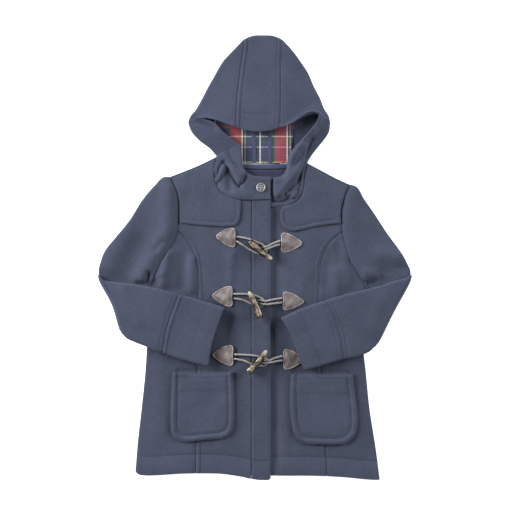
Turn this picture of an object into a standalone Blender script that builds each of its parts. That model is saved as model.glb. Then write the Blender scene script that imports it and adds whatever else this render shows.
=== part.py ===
"""A child's hooded duffle coat, laid on its back with both sleeves folded in across the front.

The coat lies on the plane z = 0, hood towards +Y and hem towards -Y. The wearer's right is on the -X side.
Sizes are in millimetres until a mesh is made. Each cloth piece is an open surface, the middle of its
cloth, that a Solidify modifier gives its thickness. Two pieces that are sewn edge to edge share the
named line of their seam, and each stops half of SEAM_GAP short of it.
"""

import math

import bpy
import numpy as np

MM = 0.001

CENTRE = (0.4, 0.2)  # the middle of the whole coat, which becomes the origin

# Cloth and the way it lies ------------------------------------------------------------------------
WOOL = 3.0  # melton, one wall
YOKE = 2.0
LINING = 1.0
LEATHER = 1.8
SEAM_GAP = 0.3
LAY_GAP = 0.5  # between two layers that lie on each other
HOLLOW = 3.0  # air between the front and the back of the coat
BACK_MID = WOOL / 2
FRONT_MID = BACK_MID + WOOL + HOLLOW
EDGE_MID = BACK_MID + WOOL + LAY_GAP  # the front's height where it closes on the back
EDGE_REACH = 32.0  # how far in from a closed edge the front takes to rise
ROLL = 1.9  # bend radius of a side seam that turns down round the back's edge
LAP_RISE = WOOL + LAY_GAP  # the right front climbs this much to lie over the left front
LAP_FROM, LAP_TO = -78.0, -24.0
HEM_DROP = 1.2
HEM_REACH = 70.0

# Sleeves ------------------------------------------------------------------------------------------
SLEEVE_HALF = (FRONT_MID - BACK_MID) / 2  # from the middle of a flat sleeve to the middle of its cloth
FOLD_RADIUS = FRONT_MID + WOOL / 2 + 0.3  # height of the axis that the forearm is folded over
CUFF_LIFT = 2.8  # the cuffs ride this much higher than the elbows, over the lap and the leather patches
CAP_REACH = 40.0  # how far down from the armhole a sleeve takes to reach its own thickness

# Hood ---------------------------------------------------------------------------------------------
CROWN_RADIUS = (FRONT_MID - BACK_MID) / 2
NECK_RADIUS = (EDGE_MID - BACK_MID) / 2

# Fastenings ---------------------------------------------------------------------------------------
CORD = 3.2
TOGGLE_LONG = 50.0
TOGGLE_RADIUS = 5.0
TOGGLE_WAIST = 4.0
SNAP_RADIUS = 8.0
SNAP_HIGH = 3.0

NAVY = (0.075, 0.085, 0.135)
NAVY_DARK = (0.045, 0.045, 0.085)
PLAID_RED = (0.45, 0.05, 0.07)
LEATHER_BROWN = (0.21, 0.16, 0.155)
CORD_BROWN = (0.10, 0.065, 0.045)
HORN = (0.16, 0.115, 0.07)
METAL = (0.55, 0.55, 0.55)

# Seam lines, as x, y of points on the laid coat ---------------------------------------------------
RIGHT = {
    "shoulder": [(-65, 177), (-94, 163), (-121, 152), (-147, 142)],
    "armhole_upper": [(-147, 142), (-138, 125), (-131, 104), (-130, 80), (-131, 60), (-134, 47)],
    "armhole_lower": [(-134, 47), (-140, 27), (-150, 8), (-163, -13), (-172, -29), (-178, -46)],
    "side": [(-178, -46), (-184, -85), (-188, -157), (-191, -200), (-197.5, -267), (-204, -337), (-207, -379)],
    "princess": [(-134, 47), (-119, 32), (-107, 13), (-101, -13), (-98, -57), (-99, -144), (-100, -249),
                 (-102, -378)],
    "side_hem": [(-207, -379), (-190, -382), (-172, -381.5), (-122, -378.5), (-102, -378)],
    "front_hem": [(-102, -378), (-51, -379), (-24, -383), (-5, -387)],
    "neckline": [(-65, 177), (-69, 157), (-68, 137), (-63, 123), (-49, 110), (-32, 103), (-5, 101)],
    "front_edge": [(-5, 101), (-5, -387)],
    "yoke_inner": [(-25, 66), (-23, 84), (-23, 98)],
    "yoke_neck": [(-23, 98), (-33, 101), (-51, 108), (-66, 122), (-71, 138), (-72, 158), (-70, 173)],
    "yoke_lower": [(-131, 61), (-103, 57), (-74, 55), (-46, 54), (-31, 57), (-25, 66)],
    "yoke_armhole": [(-131, 61), (-131, 80), (-132, 104), (-139, 125), (-145, 138)],
    "yoke_shoulder": [(-145, 138), (-121, 149), (-94, 160), (-70, 173)],
    "sleeve_head": [(-134, 47), (-140.8, 27), (-153, 6.5)],
    "sleeve_outer": [(-147, 142), (-159, 142), (-173, 129), (-190, 110), (-221, 63), (-244, 35), (-261, 15),
                     (-270.5, -2), (-275, -14), (-267.5, -26)],
    "crease": [(-267.5, -26), (-240, -80), (-223.5, -139)],
    "sleeve_inner": [(-153, 6.5), (-166.4, -14.5), (-174.8, -30), (-181.6, -47), (-198, -80), (-213, -114), (-223.5, -139)],
    "forearm_upper": [(-267.5, -26), (-258, -35), (-243, -41), (-208, -46), (-173, -52), (-130, -63)],
    "forearm_lower": [(-223.5, -139), (-211, -148), (-195, -154), (-175, -161), (-159, -166)],
    "cuff_upper": [(-130, -63), (-94, -73), (-51, -86)],
    "cuff_lower": [(-159, -166), (-130, -177), (-103, -184), (-80, -190)],
    "cuff_seam": [(-130, -63), (-144, -101), (-154, -136), (-159, -166)],
    "cuff_end": [(-51, -86), (-60, -109), (-67, -130), (-74, -153), (-80, -190)],
    "hood_outline": [(-18, 382.5), (-37, 363), (-56, 342), (-68, 321), (-80, 300), (-91, 279)],
    "hood_corner": [(-91, 279), (-103, 258), (-112, 247), (-115.5, 236)],
    "hood_cheek": [(-115.5, 236), (-111.5, 223.5), (-96, 205), (-78.5, 192), (-65, 177)],
    "hood_lap": [(-5, 101), (29, 102)],
    "hood_seam": [(-18, 371), (-21, 346), (-26, 311), (-30, 267), (-32, 227)],
    "hood_rim": [(-32, 227), (-46, 232), (-63, 239), (-80, 243), (-99, 244)],
    "hood_front": [(-99, 244), (-89, 235), (-74, 228), (-58, 220), (-40, 209), (-23, 196)],
    "hood_throat": [(-23, 196), (-21, 179), (-17, 163), (-5, 152), (10, 144), (29, 141)],
    "hood_nape_seam": [(-18, 371), (-22, 320), (-27, 250), (-30, 166)],
    "hood_fold": {"outline": 3.0, "corner": 3.0, "cheek": 2.6},
    "hood_edge": {"rim": 15.0, "corner": 14.0, "front": 12.0, "throat": 11.2},
    "pocket": [(-198, -144, -37), (-295, -144, -37), (-304, -142, -41), (-314, -131, -51), (-322, -121, -60)],
}
LEFT = {
    "shoulder": [(93, 166), (116, 154), (142, 140), (168, 128)],
    "armhole_upper": [(168, 128), (159, 113), (154, 92), (152, 73), (153, 58), (155, 46)],
    "armhole_lower": [(155, 46), (159, 25), (168, -4), (178, -20), (187, -36), (194, -52)],
    "side": [(194, -52), (192, -95), (192, -162), (196, -200), (203, -267), (214, -337), (221, -390)],
    "princess": [(155, 46), (138, 32), (124, 15), (117, -4), (114, -39), (112, -92), (116, -179), (121, -267),
                 (127, -383)],
    "side_hem": [(221, -390), (205, -389.5), (189, -388), (159, -385), (127, -383)],
    "front_hem": [(127, -383), (80, -382), (28, -382), (-16, -382)],
    "neckline": [(93, 166), (88, 143), (86, 122), (79, 104), (63, 93), (42, 90), (-16, 90)],
    "front_edge": [(-16, 90), (-16, -382)],
    "yoke_inner": [(47, 62), (46, 75), (48, 87)],
    "yoke_neck": [(48, 87), (64, 90), (81, 102), (89, 121), (91, 142), (97, 161)],
    "yoke_lower": [(153, 60), (128, 57), (103, 53), (82, 48), (66, 46), (53, 51), (47, 62)],
    "yoke_armhole": [(153, 60), (152, 73), (154, 92), (160, 112), (166, 125)],
    "yoke_shoulder": [(166, 125), (142, 137), (116, 151), (97, 161)],
    "sleeve_head": [(155, 46), (159.4, 25), (170, -5.5)],
    "sleeve_outer": [(168, 129), (179, 125.5), (192, 105), (210, 79), (233, 44), (250, 17), (264, -3), (274, -15),
                     (268.5, -27)],
    "crease": [(268.5, -27), (236, -97), (197, -163)],
    "sleeve_inner": [(170, -5.5), (181, -21.5), (190, -37.5), (197.2, -52), (203, -90), (202, -130), (197, -163)],
    "forearm_upper": [(268.5, -27), (261, -34), (250, -38), (229, -46), (194, -55), (168, -61), (142, -68), (124, -74)],
    "forearm_lower": [(197, -163), (188, -169), (175, -174), (154, -178)],
    "cuff_upper": [(124, -74), (107, -79), (77, -90), (46, -104)],
    "cuff_lower": [(154, -178), (124, -187), (88, -197)],
    "cuff_seam": [(124, -74), (138, -102), (147, -127), (152, -153), (154, -178)],
    "cuff_end": [(46, -104), (57, -122), (68, -144), (80, -179), (88, -197)],
    "hood_outline": [(49, 382.5), (66.5, 364), (82, 343), (95.5, 322), (104.5, 301), (115.5, 280)],
    "hood_corner": [(115.5, 280), (124, 259), (131, 247), (133.5, 235)],
    "hood_cheek": [(133.5, 235), (131, 219), (122, 205), (112, 193), (102, 180), (93, 166)],
    "hood_lap": None,
    "hood_seam": [(49, 371), (47, 346), (47, 302), (46, 258), (44, 226)],
    "hood_rim": [(44, 226), (60, 231), (75, 242), (88, 251), (101, 255), (113, 252)],
    "hood_front": [(113, 252), (111, 241), (102, 227), (86, 209), (68, 190)],
    "hood_throat": [(68, 190), (60, 176), (54, 160), (44, 148), (29, 140), (-14, 138)],
    "hood_nape_seam": [(49, 371), (48, 320), (47, 250), (46, 164)],
    "hood_fold": {"outline": 3.0, "corner": 5.6, "cheek": 2.6},
    "hood_edge": {"rim": 15.0, "corner": 22.0, "front": 12.0, "throat": 7.6},
    "pocket": [(-204, 65, 170), (-290, 66, 176), (-302, 68, 175), (-315, 80, 162), (-326, 90, 150)],
}
BACK_NECK = [(-65, 177), (-40, 167), (-10, 163), (20, 162), (55, 162), (78, 163), (93, 166)]
CROWN = [(-18, 382.5), (-4, 389), (16, 390.5), (35, 389), (49, 382.5)]
RIM_CENTRE = [(-32, 227), (-12, 221), (8, 219), (28, 221), (44, 226)]
NAPE = [(-30, 164), (8, 162), (46, 162)]
LINING_EDGES = {"lower": [(-50, 169), (-30, 165.2), (20, 164.8), (64, 167)], "upper": [(-72, 240), (0, 244), (72, 246)]}
NECK_STRIP = {"lower": [(-22, 156.5), (20, 155), (62, 156.5)], "upper": [(-24, 163.9), (20, 163.5), (64, 164.8)]}

# Soft folds of the front: x, y of both ends, height (a trough is negative) and half width
FRONT_FOLDS = [
    {"from": (-121, 2), "to": (-124, -60), "high": -1.6, "wide": 15.0},
    {"from": (-150, -16), "to": (-108, -30), "high": 1.2, "wide": 12.0},
    {"from": (146, 12), "to": (126, -44), "high": -1.4, "wide": 16.0},
    {"from": (60, -210), "to": (40, -380), "high": 1.0, "wide": 22.0},
    {"from": (-30, -200), "to": (-60, -380), "high": 0.8, "wide": 24.0},
]

# Fastenings: where each toggle lies and which way, the leather patch on either side (x of its base, y of
# the base's middle, its height, its tip), the loop round the toggle and the cord that holds it
CLOSURES = [
    {"toggle": (11, 12), "turn": -39, "right": (-32, 34, 34, (-66, 37)), "left": (47, 26, 35, (84, 25)),
     "loop": [(-31.1, 36.2), (-13, 33.4), (4, 27.3), (17, 20.5), (22.5, 14), (18, 8.4), (7, 7.5), (-3.5, 12),
              (-15, 19.1), (-31.1, 28.9)],
     "hold": [(46.4, 29.6), (31, 23.8), (21.4, 18.6), (12, 16.8), (9.4, 15), (12, 13.2), (21, 14.4), (31, 18.6),
              (46.4, 23.2)]},
    {"toggle": (2, -82), "turn": -67, "right": (-37, -68, 36, (-73, -67)), "left": (50, -76, 33, (87, -77)),
     "loop": [(-36.4, -63.5), (-9, -64.4), (6, -68), (16, -73.5), (19, -79), (14, -84.5), (3, -84.5), (-6, -79.6),
              (-18.6, -74.3), (-36.4, -71)],
     "hold": [(49.4, -71), (31, -73.5), (19.3, -75.6), (8, -74.6), (4.2, -76.8), (8, -79), (19.3, -81.4),
              (33, -80.2), (49.4, -78.6)]},
    {"toggle": (6, -181), "turn": 49, "right": (-36, -171, 36, (-73, -170)), "left": (51, -178, 36, (88, -178)),
     "loop": [(-35.4, -168.9), (-13, -169.8), (8, -172.2), (20, -175.6), (24.4, -181.5), (19.5, -187.4), (9, -189),
              (0, -186.9), (-18.6, -179.6), (-35.4, -176.4)],
     "hold": [(50.4, -172), (38, -174.6), (26, -178.4), (13, -179.2), (9.8, -181), (13, -182.8), (26, -182.8),
              (38, -181), (50.4, -179.4)]},
]
SNAP_AT = (12, 122)


# Lines and surfaces -------------------------------------------------------------------------------
def smooth(points, steps=12):
    """Points along a curve that is a cubic between each pair of the given ones."""
    points = np.asarray(points, float)
    if len(points) == 2:
        return points
    along = np.r_[0, np.cumsum(np.linalg.norm(np.diff(points, axis=0), axis=1))]
    slope = np.gradient(points, along, axis=0)
    rows = []
    for i in range(len(points) - 1):
        t = np.linspace(0, 1, steps, endpoint=False)[:, None]
        span = along[i + 1] - along[i]
        rows.append((2 * t**3 - 3 * t**2 + 1) * points[i] + (t**3 - 2 * t**2 + t) * span * slope[i]
                    + (3 * t**2 - 2 * t**3) * points[i + 1] + (t**3 - t**2) * span * slope[i + 1])
    return np.concatenate([*rows, points[-1:]])


def line(*runs, shares=None):
    """A function that gives the point at each share t, 0 to 1, of the way along the runs.

    Each run is even along its own length and takes its share of t, so two lines with the same
    shares come to the ends of their runs together.
    """
    shares = [1 / len(runs)] * len(runs) if shares is None else shares
    t, points = [], []
    start = 0.0
    for run, share in zip(runs, shares):
        fine = smooth(run)
        along = np.r_[0, np.cumsum(np.linalg.norm(np.diff(fine, axis=0), axis=1))]
        t.append(start + share * along / along[-1])
        points.append(fine)
        start += share
    t, points = np.concatenate(t), np.concatenate(points)
    return lambda at: np.stack([np.interp(at, t, points[:, k]) for k in (0, 1)], axis=-1)


def coons(u, v, left, right, start, end):
    """The plane surface stretched between four lines: left and right along v, start and end along u."""
    u, v = np.broadcast_arrays(u, v)
    a, b = u[..., None], v[..., None]
    corners = ((1 - a) * (1 - b) * start(0.0) + a * (1 - b) * start(1.0)
               + (1 - a) * b * end(0.0) + a * b * end(1.0))
    return (1 - a) * left(v) + a * right(v) + (1 - b) * start(u) + b * end(u) - corners


def rise(t):
    """0 below 0, 1 above 1, and a smooth step between."""
    t = np.clip(t, 0, 1)
    return t * t * (3 - 2 * t)


def distance(plan, points):
    """How far each point of the plan is from the polyline."""
    points = np.asarray(points, float)
    best = np.full(plan.shape[:-1], np.inf)
    for a, b in zip(points[:-1], points[1:]):
        t = np.clip(((plan - a) @ (b - a)) / ((b - a) @ (b - a)), 0, 1)
        best = np.minimum(best, np.linalg.norm(plan - a - t[..., None] * (b - a), axis=-1))
    return best


def fold_relief(plan, folds):
    """Soft troughs and ridges, each a bell across its line that fades out past its ends."""
    total = np.zeros(plan.shape[:-1])
    for fold in folds:
        total += fold["high"] * np.exp(-(distance(plan, [fold["from"], fold["to"]]) / fold["wide"]) ** 2)
    return total


PLACKET = (-5, 29, 100, -389)  # its sides, top and bottom
RIM_MID = 15.0
LINING_MID = BACK_MID + WOOL / 2 + 0.4 + LINING / 2
FACING = {"lower": [(-48, 122), (20, 112), (76, 120)], "upper": [(-40, 153), (20, 151.5), (70, 153)]}

CLOSED_EDGES = [RIGHT["side"], LEFT["side"], RIGHT["shoulder"], LEFT["shoulder"]]
HEMS = [RIGHT["side_hem"], RIGHT["front_hem"], LEFT["side_hem"], LEFT["front_hem"]]


def front_height(plan, laps):
    """Height of the middle of the front's cloth. laps is True for what lies on the left front."""
    edge = np.min([distance(plan, points) for points in CLOSED_EDGES], axis=0)
    hem = np.min([distance(plan, points) for points in HEMS], axis=0)
    high = EDGE_MID + (FRONT_MID - EDGE_MID) * rise(edge / EDGE_REACH)
    high = high - HEM_DROP * (1 - rise(hem / HEM_REACH)) * rise(edge / EDGE_REACH)
    if laps:
        high = high + LAP_RISE * rise((plan[..., 0] - LAP_FROM) / (LAP_TO - LAP_FROM))
    return high + fold_relief(plan, FRONT_FOLDS) * rise(edge / EDGE_REACH)


def deep(plan, height):
    return np.concatenate([plan, height[..., None]], axis=-1)


def trim(points, first_column=0.0, last_column=0.0, first_row=0.0, last_row=0.0):
    """Moves the outer rows and columns of a grid of points inwards by these distances."""
    points = points.copy()
    for cut, edge, inner in ((first_column, np.s_[:, 0], np.s_[:, 1]), (last_column, np.s_[:, -1], np.s_[:, -2]),
                             (first_row, np.s_[0], np.s_[1]), (last_row, np.s_[-1], np.s_[-2])):
        way = points[inner] - points[edge]
        points[edge] += cut * way / np.linalg.norm(way, axis=-1, keepdims=True)
    return points


def roll_down(points, lowest=0.4):
    """Adds columns after the last one, which turn down round the back's edge to near the table."""
    way = points[:, -1] - points[:, -2]
    way[:, 2] = 0
    way /= np.linalg.norm(way, axis=-1, keepdims=True)
    out = points.copy()
    out[:, -1] -= way * (ROLL + WOOL / 2)
    centre = out[:, -1].copy()
    added = []
    for angle in (math.radians(50), math.radians(90)):
        step = centre + way * ROLL * math.sin(angle)
        step[:, 2] -= ROLL * (1 - math.cos(angle))
        added.append(step)
    foot = added[-1].copy()
    foot[:, 2] = lowest
    return np.concatenate([out, np.stack([*added, foot], axis=1)], axis=1)


# Making objects -----------------------------------------------------------------------------------
def material(name, colour, roughness, metallic=0.0):
    made = bpy.data.materials.new(name)
    made.use_nodes = True
    shader = made.node_tree.nodes["Principled BSDF"]
    shader.inputs["Base Color"].default_value = (*colour, 1)
    shader.inputs["Roughness"].default_value = roughness
    shader.inputs["Metallic"].default_value = metallic
    return made


def place(obj, finish):
    obj.data.materials.append(finish)
    coat.objects.link(obj)
    return obj


def cloth(name, strips, thickness, finish, ring=False):
    """One cloth piece from grids of points that share edges, given its thickness by Solidify."""
    points = np.concatenate([strip.reshape(-1, 3) for strip in strips])
    faces, start = [], 0
    for strip in strips:
        rows, columns = strip.shape[:2]
        index = start + np.arange(rows * columns).reshape(rows, columns)
        if ring:
            index = np.concatenate([index, index[:, :1]], axis=1)
        faces.append(np.stack([index[:-1, :-1], index[:-1, 1:], index[1:, 1:], index[1:, :-1]], axis=-1).reshape(-1, 4))
        start += rows * columns
    mesh = bpy.data.meshes.new(name)
    mesh.from_pydata((points * MM).tolist(), [], np.concatenate(faces).tolist())
    obj = place(bpy.data.objects.new(name, mesh), finish)
    weld = obj.modifiers.new("join strips", "WELD")
    weld.merge_threshold = 0.00001
    solidify = obj.modifiers.new("cloth", "SOLIDIFY")
    solidify.thickness = thickness * MM
    solidify.offset = 0
    mesh.shade_smooth()
    mesh.set_sharp_from_angle(angle=math.radians(50))
    return obj


def turned(name, profile, finish, segments):
    """A turned piece: profile is radius and height, from the top of its outer side to the bottom."""
    mesh = bpy.data.meshes.new(name)
    mesh.from_pydata([(r * MM, 0, z * MM) for r, z in profile], [(i, i + 1) for i in range(len(profile) - 1)], [])
    obj = place(bpy.data.objects.new(name, mesh), finish)
    screw = obj.modifiers.new("turn", "SCREW")
    screw.steps = screw.render_steps = segments
    screw.use_merge_vertices = True
    screw.merge_threshold = 0.00001
    screw.use_smooth_shade = True
    return obj


def cord(name, route, finish, count):
    """A round cord along a smooth curve through the route's points."""
    fine = smooth(route)
    along = np.r_[0, np.cumsum(np.linalg.norm(np.diff(fine, axis=0), axis=1))]
    at = np.linspace(0, along[-1], count)
    points = np.stack([np.interp(at, along, fine[:, k]) for k in range(3)], axis=1)
    data = bpy.data.curves.new(name, "CURVE")
    data.dimensions = "3D"
    data.bevel_depth = CORD / 2 * MM
    data.bevel_resolution = 2
    data.use_fill_caps = True
    spline = data.splines.new("POLY")
    spline.points.add(count - 1)
    for point, where in zip(spline.points, points * MM):
        point.co = (*where, 1)
    return place(bpy.data.objects.new(name, data), finish)


# Body ---------------------------------------------------------------------------------------------
ARM_SHARE, SIDE_SHARE = 0.2, 0.8  # of the rows, above and below the corner of armhole and princess seam
ARM_ROWS, SIDE_ROWS = 8, 15


def front_rows():
    return np.concatenate([np.linspace(0, ARM_SHARE, ARM_ROWS, endpoint=False), np.linspace(ARM_SHARE, 1, SIDE_ROWS)])


def make_back(finish):
    sides = []
    for side in (RIGHT, LEFT):
        sides.append(line(side["side"][::-1], side["armhole_lower"][::-1], side["armhole_upper"][::-1],
                          side["shoulder"][::-1], shares=(0.52, 0.16, 0.16, 0.16)))
    hem = line(RIGHT["side_hem"] + RIGHT["front_hem"][1:-1] + LEFT["front_hem"][::-1] + LEFT["side_hem"][-2::-1])
    u, v = np.meshgrid(np.linspace(0, 1, 9), np.linspace(0, 1, 26))
    plan = coons(u, v, sides[0], sides[1], hem, line(BACK_NECK))
    points = deep(plan, np.full(plan.shape[:2], BACK_MID))
    # The front's rolled edges lie outside the back's at the sides and, at a slant to the rows, the shoulders.
    for rows, cut in ((np.s_[:14], WOOL + 1.4), (np.s_[14:21], 2.6), (np.s_[21:], 11.0)):
        points[rows] = trim(points[rows], cut, cut)
    points = trim(points, first_row=1.0, last_row=SEAM_GAP)
    cloth("back", [points], WOOL, finish)


def make_front(name, side, laps, finish):
    """The middle front, from shoulder to hem, between the princess seam and the centre."""
    shares = (ARM_SHARE, SIDE_SHARE)
    outer = line(side["armhole_upper"], side["princess"], shares=shares)
    inner = line(side["neckline"], side["front_edge"], shares=shares)
    u, v = np.meshgrid(np.linspace(0, 1, 8), front_rows())
    plan = coons(u, v, outer, inner, line(side["shoulder"][::-1]), line(side["front_hem"]))
    points = deep(plan, front_height(plan, laps))
    points = trim(points, SEAM_GAP / 2, SEAM_GAP / 2)
    points = roll_down(points[::-1].swapaxes(0, 1)).swapaxes(0, 1)
    cloth(name, [points], WOOL, finish)


def make_side(name, side, laps, finish):
    """The side front, from the armhole to the hem, between the princess seam and the side seam."""
    u, v = np.meshgrid(np.linspace(0, 1, 8), np.linspace(0, 1, SIDE_ROWS))
    plan = coons(u, v, line(side["princess"]), line(side["side"]), line(side["armhole_lower"]),
                 line(side["side_hem"][::-1]))
    points = deep(plan, front_height(plan, laps))
    points = trim(points, SEAM_GAP / 2, 0, SEAM_GAP)
    cloth(name, [roll_down(points)], WOOL, finish)


def make_yoke(name, side, laps, finish):
    """The curved overlay on the chest, below the shoulder seam."""
    u, v = np.meshgrid(np.linspace(0, 1, 8), np.linspace(0, 1, 9))
    plan = coons(u, v, line(side["yoke_armhole"]), line(side["yoke_inner"], side["yoke_neck"], shares=(0.2, 0.8)),
                 line(side["yoke_lower"]), line(side["yoke_shoulder"]))
    above = WOOL / 2 + LAY_GAP + YOKE / 2
    points = deep(plan, front_height(plan, laps) + above)
    cloth(name, [trim(points, 0.6, 0.6, 0, 0.6)], YOKE, finish)


def make_placket(finish):
    x, y = np.meshgrid(np.linspace(PLACKET[0] + SEAM_GAP, PLACKET[1], 4), np.linspace(PLACKET[2], PLACKET[3], 19))
    plan = np.stack([x, y], axis=-1)
    cloth("placket", [deep(plan, front_height(plan, True))], WOOL, finish)


def make_pocket(name, side, laps, finish):
    """A patch pocket: table rows from top to bottom, each with the x of its two sides."""
    table = np.array(side["pocket"], float)
    tall = np.concatenate([np.linspace(table[0, 0], table[1, 0], 7)[:-1], table[1:, 0]])
    low, high = (np.interp(-tall, -table[:, 0], table[:, k]) for k in (1, 2))
    across = np.array([0, 0.045, 0.095, 0.3, 0.5, 0.7, 0.905, 0.955, 1])
    plan = np.stack([low[:, None] + (high - low)[:, None] * across, np.repeat(tall[:, None], 9, axis=1)], axis=-1)
    outline = np.concatenate([np.stack([low, tall], 1), np.stack([high, tall], 1)[::-1], [[low[0], tall[0]]]])
    edge = distance(plan, outline)
    puff = 0.7 * np.exp(-((edge - 4) / 4) ** 2) - 0.6 * np.exp(-((edge - 10) / 2.5) ** 2)
    cloth(name, [deep(plan, front_height(plan, laps) + WOOL + LAY_GAP + 0.7 + puff)], WOOL, finish)


# Sleeves ------------------------------------------------------------------------------------------
# Round a flat sleeve: share of the width, millimetres added to it, share of the height
RING = ([(0, 0, 0.5), (0, 0.3, 0.85), (0, 1, 1)] + [(k / 5, 1 - 2 * k / 5, 1) for k in range(1, 5)]
        + [(1, -1, 1), (1, -0.3, 0.85), (1, 0, 0.5), (1, -0.3, 0.15), (1, -1, 0)]
        + [(k / 4, 1 - 2 * k / 4, 0) for k in (3, 2, 1)] + [(0, 1, 0), (0, 0.3, 0.15)])


def tube(v, outer, inner, start, end):
    """Plan of a flat tube's rings at v, from the outer side seam round by the top, and the share of height."""
    wide = np.linalg.norm(inner(v) - outer(v), axis=-1)[:, None]
    share, added, tall = (np.array(column, float)[None] for column in zip(*RING))
    inset = WOOL / 2 + 0.6
    at = (share * (wide - 2 * inset) + inset + added * SLEEVE_HALF) / wide
    return coons(at, v[:, None], outer, inner, start, end), np.repeat(tall, len(v), axis=0)


def folded(plan, height, lift=0.0):
    """A place on the forearm: what was its underside is now on top."""
    return deep(plan, 2 * FOLD_RADIUS - height + lift)


def make_sleeve(name, side, laps, finish):
    """Upper arm, the bend at the elbow, and the forearm that lies back over them."""
    crease_a, crease_b = np.array(side["sleeve_outer"][-1], float), np.array(side["sleeve_inner"][-1], float)
    crease = line(side["crease"])
    rings = []
    v = np.linspace(0, 1, 9)
    armhole = line(side["armhole_upper"], side["sleeve_head"], shares=(0.65, 0.35))
    outer, inner = line(side["sleeve_outer"]), line(side["sleeve_inner"])
    plan, tall = tube(v, outer, inner, armhole, crease)
    reach = v[:, None] * 200.0
    top = front_height(plan, laps) * (1 - rise(reach / CAP_REACH)) + FRONT_MID * rise(reach / CAP_REACH)
    upper = deep(plan, BACK_MID + (top - BACK_MID) * tall)
    rings.append(trim(upper, first_row=0.6))
    plan, tall = plan[-1:], tall[-1:]
    along = (crease_b - crease_a) / np.linalg.norm(crease_b - crease_a)
    way = np.array([along[1], -along[0]])
    way *= np.sign(way @ (crease_a - np.array(side["armhole_lower"][-1], float)))
    flat = BACK_MID + (FRONT_MID - BACK_MID) * tall
    bend = []
    for angle in np.radians([30, 60, 90, 120, 150]):
        reach = (FOLD_RADIUS - flat) * math.sin(angle)
        bend.append(deep(plan + reach[..., None] * way, FOLD_RADIUS - (FOLD_RADIUS - flat) * math.cos(angle)))
    rings.append(np.concatenate(bend))
    v = np.linspace(0, 1, 6)
    plan, tall = tube(v, line(side["forearm_upper"]), line(side["forearm_lower"]), crease, line(side["cuff_seam"]))
    flat = BACK_MID + (FRONT_MID - BACK_MID) * tall
    fore = folded(plan, flat, CUFF_LIFT * rise(v[:, None] * 1.0) * 0.75)
    rings.append(trim(fore, last_row=SEAM_GAP / 2))
    cloth(name, [np.concatenate(rings)], WOOL, finish, ring=True)


def make_cuff(name, side, finish):
    v = np.linspace(0, 1, 5)
    plan, tall = tube(v, line(side["cuff_upper"]), line(side["cuff_lower"]), line(side["cuff_seam"]),
                      line(side["cuff_end"]))
    flat = BACK_MID + (FRONT_MID - BACK_MID) * tall
    points = folded(plan, flat, CUFF_LIFT * (0.75 + 0.25 * rise(v[:, None] * 1.0)))
    cloth(name, [trim(points, first_row=SEAM_GAP / 2)], WOOL, finish, ring=True)


# Hood ---------------------------------------------------------------------------------------------
TOP_ROWS, CORNER_ROWS, CHEEK_ROWS, NECK_ROWS, LAP_ROWS = 7, 4, 5, 8, 2


def hood_top(y):
    """Height of the hood's upper cloth between the crown and the rim."""
    return FRONT_MID + (RIM_MID - FRONT_MID) * rise((372 - y) / (372 - 224)) ** 1.2


def make_hood_center(finish):
    v = np.linspace(0, 1, 9)
    u, w = np.meshgrid(np.linspace(0, 1, 5), v)
    seams = [line(side["hood_seam"][::-1] + [crown]) for side, crown in ((RIGHT, CROWN[0]), (LEFT, CROWN[-1]))]
    plan = coons(u, w, *seams, line(RIM_CENTRE), line(CROWN))
    way = plan[-1] - plan[-2]
    way /= np.linalg.norm(way, axis=-1, keepdims=True)
    back_from = CROWN_RADIUS + WOOL / 2
    plan[-1] -= way * back_from
    rows = [deep(plan, hood_top(plan[..., 1]))]
    for angle in np.radians([45, 90, 135, 180]):
        height = np.full(5, BACK_MID + CROWN_RADIUS * (1 + math.cos(angle)))
        rows.append(deep(plan[-1] + way * CROWN_RADIUS * math.sin(angle), height)[None])
    seams = [line(side["hood_nape_seam"]) for side in (RIGHT, LEFT)]
    under = coons(u[:6], np.linspace(0, 1, 7)[1:, None], *seams, line([(-18, 371), (49, 371)]), line(NAPE))
    rows.append(deep(under, np.full(under.shape[:2], BACK_MID)))
    points = trim(np.concatenate(rows), 0.5, 0.5, 0, SEAM_GAP)
    cloth("hood_center", [points], WOOL, finish)


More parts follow.
